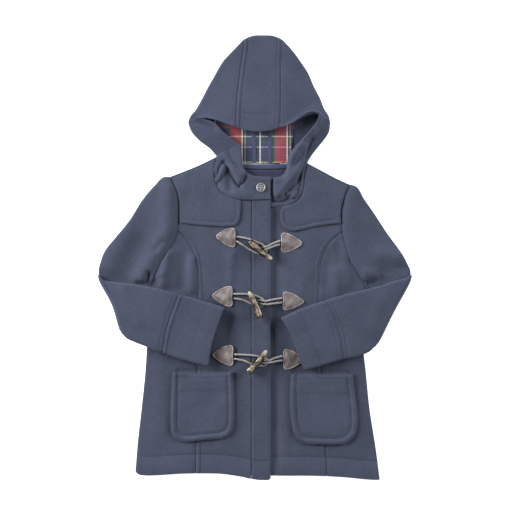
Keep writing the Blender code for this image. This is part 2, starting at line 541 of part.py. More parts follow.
def make_hood_side(name, side, laps, finish):
    """One side panel: down from the crown along the seam, out to its fold, and back under to the nape.

    Each row runs from the open edge or seam to the fold in the outline. From the neck down there is
    no layer under it, and the row ends at the neckline.
    """
    counts = [TOP_ROWS, CORNER_ROWS, CHEEK_ROWS, NECK_ROWS] + ([LAP_ROWS] if side["hood_lap"] else [])
    ends = np.r_[0, np.cumsum(counts)]
    s = np.concatenate([np.linspace(a, b, n, endpoint=False) for a, b, n in zip(ends[:-1], ends[1:], counts)] + [[ends[-1]]])
    s, folds = s / ends[-1], ends[3] + 1
    shares = np.array(counts) / ends[-1]
    inner_shares = [*shares[:3], shares[3:].sum()]
    inner = line(side["hood_seam"], side["hood_rim"], side["hood_front"], side["hood_throat"], shares=inner_shares)(s)
    runs = [side["hood_outline"], side["hood_corner"], side["hood_cheek"], side["neckline"]]
    outer = line(*runs, *([side["hood_lap"]] if side["hood_lap"] else []), shares=shares)(s)
    marks = ends[:5] / ends[-1]
    edge, fold = side["hood_edge"], side["hood_fold"]
    radius = np.interp(s, [0, marks[1], marks[2], (marks[2] + marks[3]) / 2, marks[3]],
                       [CROWN_RADIUS, fold["outline"], fold["corner"], fold["cheek"], NECK_RADIUS])
    inner_height = np.interp(s, [marks[1], marks[2], marks[3], (marks[3] + 1) / 2, 1],
                             [edge["rim"], edge["corner"], edge["front"], edge["throat"], edge["throat"]])
    inner_height = np.where(s < marks[1], hood_top(inner[:, 1]), inner_height)
    way = outer - inner
    way /= np.linalg.norm(way, axis=-1, keepdims=True)
    in_fold = (np.arange(len(s)) < folds)
    foot = outer - way * np.where(in_fold, radius + WOOL / 2, 0.45)[:, None]
    foot_height = np.where(in_fold, BACK_MID + 2 * radius, front_height(outer, laps))
    u = np.linspace(0, 1, 6)
    plan = inner[:, None] * (1 - u)[None, :, None] + foot[:, None] * u[None, :, None]
    drop = rise(u) * 0.4 + u * 0.6
    height = inner_height[:, None] * (1 - drop) + foot_height[:, None] * drop
    top = deep(plan, height)
    rim = top.copy()
    rim[: TOP_ROWS + 1] = trim(rim[: TOP_ROWS + 1], first_column=SEAM_GAP)
    columns = [rim[:folds]]
    for angle in np.radians([45, 90, 135, 180]):
        centre = foot[:folds] + way[:folds] * (radius[:folds] * math.sin(angle))[:, None]
        column = deep(centre, BACK_MID + radius[:folds] * (1 + math.cos(angle)))
        columns.append(column[:, None])
    under_at = s[:folds] / s[folds - 1]
    nape = line(side["hood_nape_seam"])(under_at)
    for share in (0.35, 0.7, 1.0):
        column = deep(foot[:folds] * (1 - share) + nape * share, np.full(folds, BACK_MID))
        columns.append(column[:, None])
    whole = trim(np.concatenate(columns, axis=1), last_column=SEAM_GAP)
    whole[-1, 6:, 1] += 0.8
    whole[0, :, 0] += math.copysign(0.4, outer[1, 0] - outer[0, 0])
    cloth(name, [whole, rim[folds - 1:]], WOOL, finish)


def make_flat(name, lower, upper, mid, thickness, finish, across=7, up=3):
    """A flat inner layer between a lower and an upper line."""
    u, v = np.meshgrid(np.linspace(0, 1, across), np.linspace(0, 1, up))
    low, high = line(lower)(u), line(upper)(u)
    plan = low * (1 - v)[..., None] + high * v[..., None]
    cloth(name, [deep(plan, np.full(plan.shape[:2], mid))], thickness, finish)


# Fastenings ---------------------------------------------------------------------------------------
def make_patch(name, base, laps, finish):
    """A leather triangle with a blunt tip: x of its base, y of the base's middle, its height, and the tip."""
    x, y, tall, tip = base
    u, v = np.meshgrid(np.array([0, 0.3, 0.6, 0.85, 1.0]), np.linspace(-1, 1, 5))
    half = tall / 2 * (1 - u) + 2.5 * u
    plan = np.stack([x + (tip[0] - x) * u, y + (tip[1] - y) * u + half * v], axis=-1)
    above = WOOL / 2 + LAY_GAP + LEATHER / 2
    cloth(name, [deep(plan, front_height(plan, laps) + above)], LEATHER, finish)


def cord_floor(plan, laps):
    """Height of a cord's middle where it lies on the front."""
    return front_height(plan, laps) + WOOL / 2 + 0.4 + CORD / 2


def make_closure(number, closure, leathers, cords, horns):
    make_patch(f"patch_right_{number}", closure["right"], True, leathers)
    make_patch(f"patch_left_{number}", closure["left"], False, leathers)
    loop = np.array(closure["loop"], float)
    cord(f"loop_{number}", deep(loop, cord_floor(loop, True)), cords, 26)
    hold = np.array(closure["hold"], float)
    lap_top = FRONT_MID + LAP_RISE + WOOL / 2
    tip, low = hold[:, 0].min(), lap_top + 0.4 + CORD / 2
    over = low + CORD + 0.4  # above the loop where it crosses it
    start = hold[0, 0]
    route = smooth(hold)
    height = np.interp(route[:, 0], [tip, tip + 2.5, tip + 8, 26, 32, start - 3],
                       [low, low, over, over, low + 0.4, cord_floor(hold[0], False) + 0.2])
    cord(f"hold_{number}", deep(route, height), cords, 22)
    half = TOGGLE_LONG / 2
    profile = [(0, half), (2.4, half - 0.4), (4.0, half - 2.0), (TOGGLE_RADIUS, half - 6), (TOGGLE_RADIUS, 9),
               (TOGGLE_WAIST, 3.5), (TOGGLE_WAIST, -3.5), (TOGGLE_RADIUS, -9), (TOGGLE_RADIUS, 6 - half),
               (4.0, 2.0 - half), (2.4, 0.4 - half), (0, -half)]
    obj = turned(f"toggle_{number}", profile, horns, 12)
    axis_height = lap_top + 0.4 + CORD + 0.4 + TOGGLE_RADIUS
    obj.rotation_euler = (0, math.radians(90), math.radians(closure["turn"]))
    obj.location = (closure["toggle"][0] * MM, closure["toggle"][1] * MM, axis_height * MM)


def make_snap(finish):
    base = FRONT_MID + LAP_RISE + WOOL / 2 + 0.6
    r, h = SNAP_RADIUS, SNAP_HIGH
    profile = [(0, h - 0.6), (3.2, h - 0.6), (4.0, h - 1.2), (5.0, h - 1.2), (5.8, h - 0.1), (6.8, h), (7.7, h - 0.6), (r, h - 1.6),
               (r, 0.4), (r - 0.4, 0), (0, 0)]
    obj = turned("snap", profile, finish, 24)
    obj.location = (SNAP_AT[0] * MM, SNAP_AT[1] * MM, base * MM)


# Run ----------------------------------------------------------------------------------------------
for old in list(bpy.data.objects):
    bpy.data.objects.remove(old)
coat = bpy.data.collections.new("duffle coat")
bpy.context.scene.collection.children.link(coat)

wool = material("navy wool melton", NAVY, 0.95)
facing = material("dark neck facing", NAVY_DARK, 0.9)
plaid = material("plaid lining", PLAID_RED, 0.9)
leather = material("brown leather", LEATHER_BROWN, 0.6)
cord_brown = material("braided brown cord", CORD_BROWN, 0.8)
horn = material("dark horn", HORN, 0.35)
metal = material("pale metal", METAL, 0.3, 1.0)

make_back(wool)
for which, side, laps in (("right", RIGHT, True), ("left", LEFT, False)):
    make_front(f"front_{which}", side, laps, wool)
    make_side(f"side_front_{which}", side, laps, wool)
    make_yoke(f"yoke_{which}", side, laps, wool)
    make_pocket(f"pocket_{which}", side, laps, wool)
    make_sleeve(f"sleeve_{which}", side, laps, wool)
    make_cuff(f"cuff_{which}", side, wool)
    make_hood_side(f"hood_side_{which}", side, laps, wool)
make_placket(wool)
make_hood_center(wool)
make_flat("hood_lining", LINING_EDGES["lower"], LINING_EDGES["upper"], LINING_MID, LINING, plaid)
make_flat("neck_strip", NECK_STRIP["lower"], NECK_STRIP["upper"], LINING_MID, LINING, wool)
make_flat("back_neck_facing", FACING["lower"], FACING["upper"], LINING_MID, LINING, facing)
for number, closure in enumerate(CLOSURES, 1):
    make_closure(number, closure, leather, cord_brown, horn)
make_snap(metal)
for obj in coat.objects:
    obj.location.x -= CENTRE[0] * MM
    obj.location.y -= CENTRE[1] * MM
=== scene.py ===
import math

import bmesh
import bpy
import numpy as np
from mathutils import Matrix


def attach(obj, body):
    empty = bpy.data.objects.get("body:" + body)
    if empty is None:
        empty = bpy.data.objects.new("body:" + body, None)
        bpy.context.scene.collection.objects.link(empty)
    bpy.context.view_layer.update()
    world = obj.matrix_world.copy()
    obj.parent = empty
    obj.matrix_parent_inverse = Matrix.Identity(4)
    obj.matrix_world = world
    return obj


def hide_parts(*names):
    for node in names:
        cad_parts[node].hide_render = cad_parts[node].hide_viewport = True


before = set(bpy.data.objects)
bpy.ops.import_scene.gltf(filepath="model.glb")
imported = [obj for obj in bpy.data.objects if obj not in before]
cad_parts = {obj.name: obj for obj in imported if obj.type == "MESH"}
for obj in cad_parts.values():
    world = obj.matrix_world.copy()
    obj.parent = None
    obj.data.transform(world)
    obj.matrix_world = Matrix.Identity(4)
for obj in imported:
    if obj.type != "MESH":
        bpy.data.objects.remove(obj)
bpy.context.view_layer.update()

# %% [markdown]
# # A child's duffle coat, laid flat
# The coat lies on its back with both sleeves folded in across the front. It is cut from melton, a
# wool cloth that is felted until its weave disappears, so it bends in wide, soft curves and every
# cut edge stays thick. The frame loaded above holds the plain solids of each sewn piece. This script
# dresses them: each piece is worked out again as a finer surface in the same place, gets the
# dents of its stitching and its soft folds, and then a finish.
#
# Sizes are in millimetres until a mesh is made. The wearer's right is on the -X side.

MM = 0.001
CENTRE = np.array([0.4, 0.2, 0.0])  # the middle of the coat as drawn, which is the frame's origin
# Thickness of each cloth, then the gaps: at a seam, between laid layers, and the air inside the coat
WOOL, YOKE, LINING, LEATHER = 3.0, 2.0, 1.0, 1.8
SEAM_GAP, LAY_GAP, HOLLOW = 0.3, 0.5, 3.0
# Heights of the middle of the cloth: of the back, of the front, and of the front at a closed edge
BACK_MID = WOOL / 2
FRONT_MID = BACK_MID + WOOL + HOLLOW
EDGE_MID = BACK_MID + WOOL + LAY_GAP
ON_BACK = WOOL * 1.5  # the lowest that the middle of a layer on top of the back can lie
EDGE_REACH, ROLL = 32.0, 1.9  # from how far in the front comes down, and the radius that it turns down by
# The right front climbs over the left by LAP_RISE between these two x
LAP_RISE, LAP_FROM, LAP_TO = WOOL + LAY_GAP, -78.0, -24.0
LAP_TOP = FRONT_MID + LAP_RISE + WOOL / 2
HEM_DROP, HEM_REACH = 1.2, 70.0  # how much lower the hem lies, and from how far above it
SLEEVE_HALF = (FRONT_MID - BACK_MID) / 2  # half the height from a flat sleeve's lower layer to its upper one
FOLD_RADIUS = FRONT_MID + WOOL / 2 + 0.3  # height of the axis that a sleeve folds round at the elbow
CUFF_LIFT, CAP_REACH = 6.5, 40.0  # the rise to the cuff's end, and how far the cap follows the front
# Radii of the hood's turns at the crown and at the neck, and the height of its rim
CROWN_RADIUS, NECK_RADIUS, RIM_MID = (FRONT_MID - BACK_MID) / 2, (EDGE_MID - BACK_MID) / 2, 15.0
LINING_MID = BACK_MID + WOOL / 2 + 0.4 + LINING / 2
CORD, TOGGLE_RADIUS = 3.6, 6.0
STITCH = 3.4  # one stitch and the gap after it

# %% [markdown]
# ## Seam lines
# Points of the laid coat's seams, x and y in millimetres. A name is the same on both sides.

# %% Seam lines on the wearer's right
RIGHT = {
    "shoulder": [(-65, 177), (-94, 163), (-121, 152), (-147, 142)],
    "armhole_upper": [(-147, 142), (-138, 125), (-131, 104), (-130, 80), (-131, 60), (-134, 47)],
    "armhole_lower": [(-134, 47), (-140, 27), (-150, 8), (-163, -13), (-172, -29), (-178, -46)],
    "side": [(-178, -46), (-184.5, -60), (-186.5, -85), (-188, -157), (-191, -200), (-197.5, -267),
             (-204, -337), (-206.5, -374)],
    "princess": [(-134, 47), (-119, 32), (-107, 13), (-101, -13), (-98, -57), (-99, -144), (-100, -249),
                 (-102, -378)],
    "side_hem": [(-206.5, -374), (-205, -378.5), (-200, -381), (-190, -382), (-172, -381.5), (-122, -378.5),
                 (-102, -378)],
    "front_hem": [(-102, -378), (-51, -379), (-24, -383), (-5, -387)],
    "neckline": [(-65, 177), (-69, 157), (-68, 137), (-63, 123), (-49, 110), (-32, 103), (-5, 101)],
    "front_edge": [(-5, 101), (-5, -387)],
    "yoke_inner": [(-25, 66), (-23, 84), (-23, 101)],
    "yoke_neck": [(-23, 101), (-32, 103), (-49.4, 110), (-63.4, 123), (-68.4, 137), (-69.4, 157),
                  (-67, 174)],
    "yoke_lower": [(-131, 61), (-103, 57), (-74, 55), (-46, 54), (-31, 57), (-25, 66)],
    "yoke_armhole": [(-131, 61), (-131, 80), (-132, 104), (-139, 125), (-145, 138)],
    "yoke_shoulder": [(-145, 138), (-121, 149), (-94, 160), (-67, 174)],
    "sleeve_head": [(-134, 47), (-140.8, 27), (-153, 6.5)],
    "sleeve_outer": [(-147, 142), (-159, 142), (-173, 129), (-190, 110), (-221, 63), (-244, 35), (-258, 18),
                     (-264, 8), (-269.5, -8), (-272.5, -22), (-271.5, -30)],
    "crease": [(-271.5, -30), (-240, -80), (-228, -134)],
    "sleeve_inner": [(-153, 6.5), (-166.4, -14.5), (-174.8, -30), (-181.6, -47), (-198, -80), (-214, -112),
                     (-228, -134)],
    "forearm_upper": [(-271.5, -30), (-266, -37), (-243, -42), (-208, -46), (-173, -52), (-130, -63)],
    "forearm_lower": [(-228, -134), (-222, -141), (-208, -148), (-189, -155), (-175, -161), (-159, -166)],
    "cuff_upper": [(-130, -63), (-94, -73), (-51, -86)],
    "cuff_lower": [(-159, -166), (-130, -177), (-103, -184), (-80, -190)],
    "cuff_seam": [(-130, -63), (-144, -101), (-154, -136), (-159, -166)],
    "cuff_end": [(-51, -86), (-60, -109), (-67, -130), (-74, -153), (-80, -190)],
    "hood_outline": [(-18, 382.5), (-37, 363), (-56, 342), (-68, 321), (-80, 300), (-91, 279)],
    "hood_corner": [(-91, 279), (-103, 258), (-112, 247), (-115.5, 236)],
    "hood_cheek": [(-115.5, 236), (-111.5, 223.5), (-96, 205), (-78.5, 192), (-65, 177)],
    "hood_lap": [(-5, 101), (29, 102)],
    "hood_seam": [(-18, 371), (-21, 346), (-26, 311), (-30, 267), (-32, 227)],
    "hood_rim": [(-32, 227), (-46, 232), (-63, 239), (-80, 243), (-99, 244)],
    "hood_front": [(-99, 244), (-90, 242), (-78, 239.3), (-68, 235), (-57, 223), (-40, 208.5), (-23, 196)],
    "hood_throat": [(-23, 196), (-21, 179), (-20, 166), (-16, 153), (-4, 144), (12, 141.5), (29, 141)],
    "hood_nape_seam": [(-18, 371), (-22, 320), (-27, 250), (-30, 166)],
    "hood_fold": {"outline": 3.0, "corner": 3.0, "cheek": 2.6},
    "hood_edge": {"rim": 15.0, "corner": 14.0, "front": 12.0, "throat": 11.2},
    "pocket": [(-36.8, -198.6), (-80, -202.8), (-142.6, -200.4), (-144.4, -249), (-145.3, -284),
               (-143.5, -305.4), (-138.3, -313.3), (-133, -317.6), (-122.5, -321.5), (-108.5, -321.5),
               (-94.5, -319.4), (-75.3, -317.6), (-56, -315.5), (-47.3, -311.5), (-40.3, -305.4),
               (-36.6, -298), (-35, -288), (-34.1, -267), (-35, -232)],
}
print(f"{len(RIGHT)} lines and measures on the wearer's right")

# %% Seam lines on the wearer's left
LEFT = {
    "shoulder": [(93, 166), (116, 154), (142, 140), (168, 128)],
    "armhole_upper": [(168, 128), (159, 113), (154, 92), (152, 73), (153, 58), (155, 46)],
    "armhole_lower": [(155, 46), (159, 25), (168, -4), (178, -20), (187, -36), (194, -52)],
    "side": [(194, -52), (198, -66), (195, -95), (192, -162), (196, -200), (203, -267), (214, -337),
             (221, -390)],
    "princess": [(155, 46), (138, 32), (124, 15), (117, -4), (114, -39), (112, -92), (116, -179),
                 (121, -267), (127, -383)],
    "side_hem": [(221, -390), (205, -389.5), (189, -388), (159, -385), (127, -383)],
    "front_hem": [(127, -383), (80, -382), (28, -382), (-16, -382)],
    "neckline": [(93, 166), (88, 143), (86, 122), (79, 104), (63, 93), (42, 90), (-16, 90)],
    "front_edge": [(-16, 90), (-16, -382)],
    "yoke_inner": [(47, 62), (46, 75), (48, 90)],
    "yoke_neck": [(48, 90), (63.2, 92.6), (79.4, 103.6), (86.4, 122), (88.4, 143), (94.6, 164)],
    "yoke_lower": [(153, 60), (128, 57), (103, 53), (82, 48), (66, 46), (53, 51), (47, 62)],
    "yoke_armhole": [(153, 60), (152, 73), (154, 92), (160, 112), (166, 125)],
    "yoke_shoulder": [(166, 125), (142, 137), (116, 151), (94.6, 164)],
    "sleeve_head": [(155, 46), (159.4, 25), (170, -5.5)],
    "sleeve_outer": [(168, 129), (179, 125.5), (192, 105), (210, 79), (233, 44), (250, 21), (263, 2),
                     (269, -10), (274, -22), (274.5, -30)],
    "crease": [(274.5, -30), (236, -93), (209, -156)],
    "sleeve_inner": [(170, -5.5), (181, -21.5), (190, -37.5), (197.2, -52), (203, -90), (206, -130),
                     (209, -156)],
    "forearm_upper": [(274.5, -30), (267, -35), (250, -39), (229, -46), (194, -55), (168, -61), (142, -68),
                      (124, -74)],
    "forearm_lower": [(209, -156), (201, -164), (188, -170), (175, -174), (154, -178)],
    "cuff_upper": [(124, -74), (107, -79), (77, -90), (46, -104)],
    "cuff_lower": [(154, -178), (124, -187), (88, -197)],
    "cuff_seam": [(124, -74), (138, -102), (147, -127), (152, -153), (154, -178)],
    "cuff_end": [(46, -104), (57, -122), (68, -144), (80, -179), (88, -197)],
    "hood_outline": [(49, 382.5), (66.5, 364), (82, 343), (95.5, 322), (104.5, 301), (115.5, 280)],
    "hood_corner": [(115.5, 280), (124, 259), (131, 247), (133.5, 235)],
    "hood_cheek": [(133.5, 235), (131, 219), (122, 205), (112, 193), (102, 180), (93, 166)],
    "hood_lap": None,
    "hood_seam": [(49, 371), (47, 346), (47, 302), (46, 258), (44, 226)],
    "hood_rim": [(44, 226), (60, 231), (75, 242), (88, 251), (101, 255), (113, 252)],
    "hood_front": [(113, 252), (111, 241), (102, 227), (86, 209), (68, 190)],
    "hood_throat": [(68, 190), (60, 177), (58, 166), (56, 153), (47, 143), (29, 140), (-14, 138)],
    "hood_nape_seam": [(49, 371), (48, 320), (47, 250), (46, 164)],
    "hood_fold": {"outline": 3.0, "corner": 5.6, "cheek": 2.6},
    "hood_edge": {"rim": 15.0, "corner": 22.0, "front": 12.0, "throat": 7.6},
    "pocket": [(172.4, -203.5), (118, -203.5), (64, -203.5), (63, -249), (64.8, -284), (68.3, -301.9),
               (73.5, -313.5), (80.5, -320.6), (91, -325), (115.5, -326.4), (141.8, -327), (159.3, -324.6),
               (168, -319), (176.3, -309), (179.9, -296.6), (180.3, -275.6), (177.6, -249), (174.1, -223)],
}
print(f"{len(LEFT)} lines and measures on the wearer's left")

# %% Lines at the neck and in the hood
BACK_NECK = [(-65, 177), (-40, 167), (-10, 163), (20, 162), (55, 162), (78, 163), (93, 166)]
CROWN = [(-18, 382.5), (-4, 389), (16, 390.5), (35, 389), (49, 382.5)]
RIM_CENTRE = [(-32, 227), (-12, 221), (8, 219), (28, 221), (44, 226)]
NAPE = [(-30, 164), (8, 162), (46, 162)]
LINING_EDGES = {"lower": [(-50, 169), (-30, 165.2), (20, 164.8), (64, 167)],
                "upper": [(-72, 240), (0, 244), (72, 246)]}
NECK_STRIP = {"lower": [(-22, 156.5), (20, 155), (62, 156.5)],
              "upper": [(-24, 163.9), (20, 163.5), (64, 164.8)]}

FACING = {"lower": [(-48, 122), (20, 112), (76, 120)], "upper": [(-40, 153), (20, 151.5), (70, 153)]}
print(f"the crown's line has {len(CROWN)} points, the neck of the back {len(BACK_NECK)}")

# %% Where the fastenings lie
# Where each toggle lies and which way, the leather patch on either side (x of its base, y of
# the base's middle, its height, its tip), the loop round the toggle and the cord that holds it
CLOSURES = [
    {"toggle": (11, 12), "turn": -39,
     "right": (-32, 34, 34, (-66, 37)), "left": (47, 26, 35, (84, 25)),
     "loop": [(-31.1, 36.2), (-13, 33.4), (4, 27.3), (17, 20.5), (22.5, 14), (18, 8.4), (7, 7.5),
              (-3.5, 12), (-15, 19.1), (-31.1, 28.9)],
     "hold": [(46.4, 29.6), (31, 23.8), (21.4, 18.6), (12, 16.8), (9.4, 15), (12, 13.2), (21, 14.4),
              (31, 18.6), (46.4, 23.2)]},
    {"toggle": (2, -82), "turn": -67,
     "right": (-37, -68, 36, (-73, -67)), "left": (50, -76, 33, (87, -77)),
     "loop": [(-36.4, -63.5), (-9, -64.4), (6, -68), (16, -73.5), (19, -79), (14, -84.5), (3, -84.5),
              (-6, -79.6), (-18.6, -74.3), (-36.4, -71)],
     "hold": [(49.4, -71), (31, -73.5), (19.3, -75.6), (8, -74.6), (4.2, -76.8), (8, -79), (19.3, -81.4),
              (33, -80.2), (49.4, -78.6)]},
    {"toggle": (6, -181), "turn": 49,
     "right": (-36, -171, 36, (-73, -170)), "left": (51, -178, 36, (88, -178)),
     "loop": [(-35.4, -168.9), (-13, -169.8), (8, -172.2), (20, -175.6), (24.4, -181.5), (19.5, -187.4),
              (9, -189), (0, -186.9), (-18.6, -179.6), (-35.4, -176.4)],
     "hold": [(50.4, -172), (38, -174.6), (26, -178.4), (13, -179.2), (9.8, -181), (13, -182.8),
              (26, -182.8), (38, -181), (50.4, -179.4)]},
]
SNAP_AT = (12, 122)
print(f"{len(CLOSURES)} toggles and a snap")

# %% [markdown]
# ## Lines and surfaces
# A pattern cutter draws a piece by its outline, so each seam here is a named list of points. A
# surface between four such lines is a Coons patch: it blends the two side lines, adds a blend of
# the two end lines, and takes away the corners that were counted twice. Neighbours that share a
# line then always meet, which would be hard to keep true with meshes pushed by hand.


# %% Lines through points
def measured(points):
    """Millimetres along a run of points from its first: the sum of the steps so far."""
    return np.r_[0, np.cumsum(np.linalg.norm(np.diff(points, axis=0), axis=1))]


def read_at(points, along, at):
    """The run of points read at other distances, straight between the two nearest."""
    return np.stack([np.interp(at, along, points[:, k]) for k in range(points.shape[1])], axis=-1)


def unit(ways):
    """Directions made one long: each divided by its own length."""
    return ways / np.linalg.norm(ways, axis=-1, keepdims=True)


def smooth(points, steps=12):
    """A cubic between each pair of points, with the slope at each taken from its neighbours."""
    points = np.asarray(points, float)
    if len(points) == 2:
        return points
    along = measured(points)
    slope = np.gradient(points, along, axis=0)
    t = np.linspace(0, 1, steps, endpoint=False)[None, :, None]
    a, b, p, q = points[:-1, None], points[1:, None], slope[:-1, None], slope[1:, None]
    span = np.diff(along)[:, None, None]
    rows = ((2 * t**3 - 3 * t**2 + 1) * a + (t**3 - 2 * t**2 + t) * span * p
            + (3 * t**2 - 2 * t**3) * b + (t**3 - t**2) * span * q)
    return np.concatenate([rows.reshape(-1, points.shape[1]), points[-1:]])


def line(*runs, shares=None):
    """The point at each share t of the way along the runs, where each run takes its own share of t."""
    shares = [1 / len(runs)] * len(runs) if shares is None else shares
    t, points, start = [], [], 0.0
    for run, share in zip(runs, shares):
        fine = smooth(run)
        along = measured(fine)
        t.append(start + share * along / along[-1])
        points.append(fine)
        start += share
    t, points = np.concatenate(t), np.concatenate(points)
    return lambda at: read_at(points, t, at)


def coons(u, v, left, right, start, end):
    """Blend of left and right across u, plus that of start and end across v, less that of the corners."""
    u, v = np.broadcast_arrays(u, v)
    a, b = u[..., None], v[..., None]
    corners = ((1 - a) * (1 - b) * start(0.0) + a * (1 - b) * start(1.0)
               + (1 - a) * b * end(0.0) + a * b * end(1.0))
    return (1 - a) * left(v) + a * right(v) + (1 - b) * start(u) + b * end(u) - corners


def rise(t):
    """0 below 0, 1 above 1, and 3t^2 - 2t^3 between."""
    t = np.clip(t, 0, 1)
    return t * t * (3 - 2 * t)


def distance(plan, points):
    """How far each point of the plan is from a polyline: the least of its distances from the segments."""
    points = np.asarray(points, float)
    best = np.full(plan.shape[:-1], np.inf)
    for a, b in zip(points[:-1], points[1:]):
        t = np.clip(((plan - a) @ (b - a)) / max((b - a) @ (b - a), 1e-9), 0, 1)
        best = np.minimum(best, np.linalg.norm(plan - a - t[..., None] * (b - a), axis=-1))
    return best


def deep(plan, height):
    """Points in space from x and y and a height for each."""
    return np.concatenate([plan, np.broadcast_to(height, plan.shape[:-1])[..., None]], axis=-1)


side_seams = [measured(smooth(side["side"]))[-1] for side in (RIGHT, LEFT)]
print(f"side seams: {side_seams[0]:.0f} and {side_seams[1]:.0f} mm")

# %% [markdown]
# ## How the front lies
# The front and the back are two layers with a little air between them. Near a side seam the front
# comes down on the back, and where the right front laps over the left it climbs by one thickness
# of cloth. On top of that lie soft folds. Each is a bell-shaped trough or ridge along a line,
# because thick felted cloth never creases sharply. A slow, irregular swell of less than half a
# millimetre breaks up the flatness that no laid garment has.


# %% Folds and swell
def folds(plan, table):
    """Sum over the folds of high * exp(-(distance from the fold's line / wide)^2)."""
    total = np.zeros(plan.shape[:-1])
    for high, wide, *points in table:
        total += high * np.exp(-(distance(plan, points) / wide) ** 2)
    return total


def held_up(z, least, soft=0.5):
    """z, but no lower than least: least + soft * log(1 + exp((z - least) / soft))."""
    return least + soft * np.logaddexp(0, (z - least) / soft)


def lobes(plan, table):
    """Sum over the raised flaps of high * rise(distance in from the flap's outline / soft)."""
    total = np.zeros(plan.shape[:-1])
    for high, soft, *points in table:
        ring = smooth([*points, points[0]], 6)
        inside = np.zeros(plan.shape[:-1], bool)
        for a, b in zip(ring[:-1], ring[1:]):
            tall = b[1] - a[1] or 1e-9
            at = a[0] + (b[0] - a[0]) * (plan[..., 1] - a[1]) / tall
            inside ^= ((a[1] > plan[..., 1]) != (b[1] > plan[..., 1])) & (plan[..., 0] < at)
        total += high * rise(distance(plan, ring) / soft) * inside
    return total


def swell(plan, high, long, seed=3):
    """high / 3 times the sum of eight sine waves, each 0.6 to 1.6 times long, in seeded directions."""
    rng = np.random.default_rng(seed)
    total = np.zeros(plan.shape[:-1])
    waves = zip(rng.uniform(0, math.pi, 8), rng.uniform(0.6, 1.6, 8), rng.uniform(0, 6.28, 8))
    for angle, stretch, phase in waves:
        way = np.array([math.cos(angle), math.sin(angle)]) * 2 * math.pi / (long * stretch)
        total += np.sin(plan[..., :2] @ way + phase)
    return high * total / 3


PLACKET = (-5, 29, 100, -389)  # its sides, top and bottom
CLOSED_EDGES = [RIGHT["side"], LEFT["side"], RIGHT["shoulder"], LEFT["shoulder"]]
HEMS = [RIGHT["side_hem"], RIGHT["front_hem"], LEFT["side_hem"], LEFT["front_hem"]]
# Height, half width and line of each large fold of the fronts
FRONT_FOLDS = [
    (-1.0, 16, (146, 12), (126, -44)), (1.6, 22, (75, -210), (60, -380)),
    (1.2, 24, (-55, -200), (-75, -380)), (-1.5, 16, (-22, -210), (-20, -370)),
    (1.5, 20, (-90, 40), (-70, -60)), (1.5, 18, (90, 20), (84, -60)),
]


def front_height(plan, laps):
    """EDGE_MID at a closed edge to FRONT_MID inside by rise, less the hem's drop, plus the lap and the folds.

    laps is True for the right front, which climbs over the left one, and for what lies on it.
    """
    edge = np.min([distance(plan, points) for points in CLOSED_EDGES], axis=0)
    hem = np.min([distance(plan, points) for points in HEMS], axis=0)
    free = rise(edge / EDGE_REACH)
    high = EDGE_MID + (FRONT_MID - EDGE_MID) * free - HEM_DROP * (1 - rise(hem / HEM_REACH)) * free
    if laps:
        high = high + LAP_RISE * rise((plan[..., 0] - LAP_FROM) / (LAP_TO - LAP_FROM))
    return high + folds(plan, FRONT_FOLDS) * free


print(f"middle of the front {FRONT_MID:.1f} mm up, {EDGE_MID:.1f} mm at its closed edges")

# %% [markdown]
# ## From a surface to a piece of cloth
# Each piece starts as the surface in the middle of its cloth. Its rows and columns are set again
# at exact distances from the edges, so that a thin row of faces is there to round the cut edge and
# a few more to carry the dent of a stitch line. Half the thickness to each side then gives the
# piece its two faces, which close on each other at the edge. Solidify would do the same, but with a
# square edge, and here the rounded edges of two neighbours make the small valley of a seam.

# %% Setting rows and columns
EDGE_IN = np.array([0, 0.05, 0.3, 0.8, 1.5])  # mm in from a cut edge
EDGE_FULL = np.array([0, 0.6, 0.84, 0.96, 1.0])  # share of the full thickness there


def lengths(points):
    """Millimetres along each row from its first point."""
    step = np.linalg.norm(np.diff(points, axis=1), axis=-1)
    return np.concatenate([np.zeros((len(points), 1)), np.cumsum(step, axis=1)], axis=1)


def along_rows(points, at, values=None):
    """The points, or values kept on them, at these distances along each row.

    The rows are laid end to end, a millimetre apart, so that one call reads them all.
    """
    values = points if values is None else values
    s = lengths(points)
    shift = np.arange(len(points))[:, None] * (s.max() + 1.0)
    wanted, known = (np.clip(at, 0, s[:, -1:]) + shift).ravel(), (s + shift).ravel()
    return read_at(values.reshape(-1, values.shape[-1]), known, wanted).reshape(*at.shape, -1)


def turn(points):
    """Rows for columns."""
    return points.swapaxes(0, 1)


def cut(points, first=0.0, last=0.0):
    """Each row again with the same number of columns, this much shorter at its two ends."""
    long = lengths(points)[:, -1:]
    first, last = (np.reshape(x, (-1, 1)) for x in (first, last))
    return along_rows(points, first + (long - first - last) * np.linspace(0, 1, points.shape[1]))


def spaced(points, first, last, middle):
    """Columns at these distances from each row's first and last points, and evenly between."""
    long = lengths(points)[:, -1:]
    a = np.broadcast_to(np.asarray(first, float), (len(points), len(first)))
    b = long - np.asarray(last, float)[::-1]
    between = a[:, -1:] + (b[:, :1] - a[:, -1:]) * np.linspace(0, 1, middle + 2)[1:-1]
    return along_rows(points, np.concatenate([a, between, b], axis=1))


def marks(*lines):
    """Distances from an edge that round it off and give each stitch line at these distances seven rows."""
    near = [at + step for at in lines for step in (-2.4, -1.2, -0.5, 0, 0.5, 1.2, 2.4)]
    return np.array(sorted([*EDGE_IN, *near]))


def across(points, size=2.6, first=(), last=(), start=()):
    """Both ways at once, in steps of about size: stitch lines at the rows' ends and at the columns' start."""
    fine = spaced(points, marks(*first), marks(*last), max(4, round(lengths(points)[:, -1].mean() / size)))
    fine = turn(fine)
    return turn(spaced(fine, marks(*start), marks(), max(4, round(lengths(fine)[:, -1].mean() / size))))


print(f"each stitch line takes {len(marks(1)) - len(marks())} rows, each cut edge {len(EDGE_IN)}")


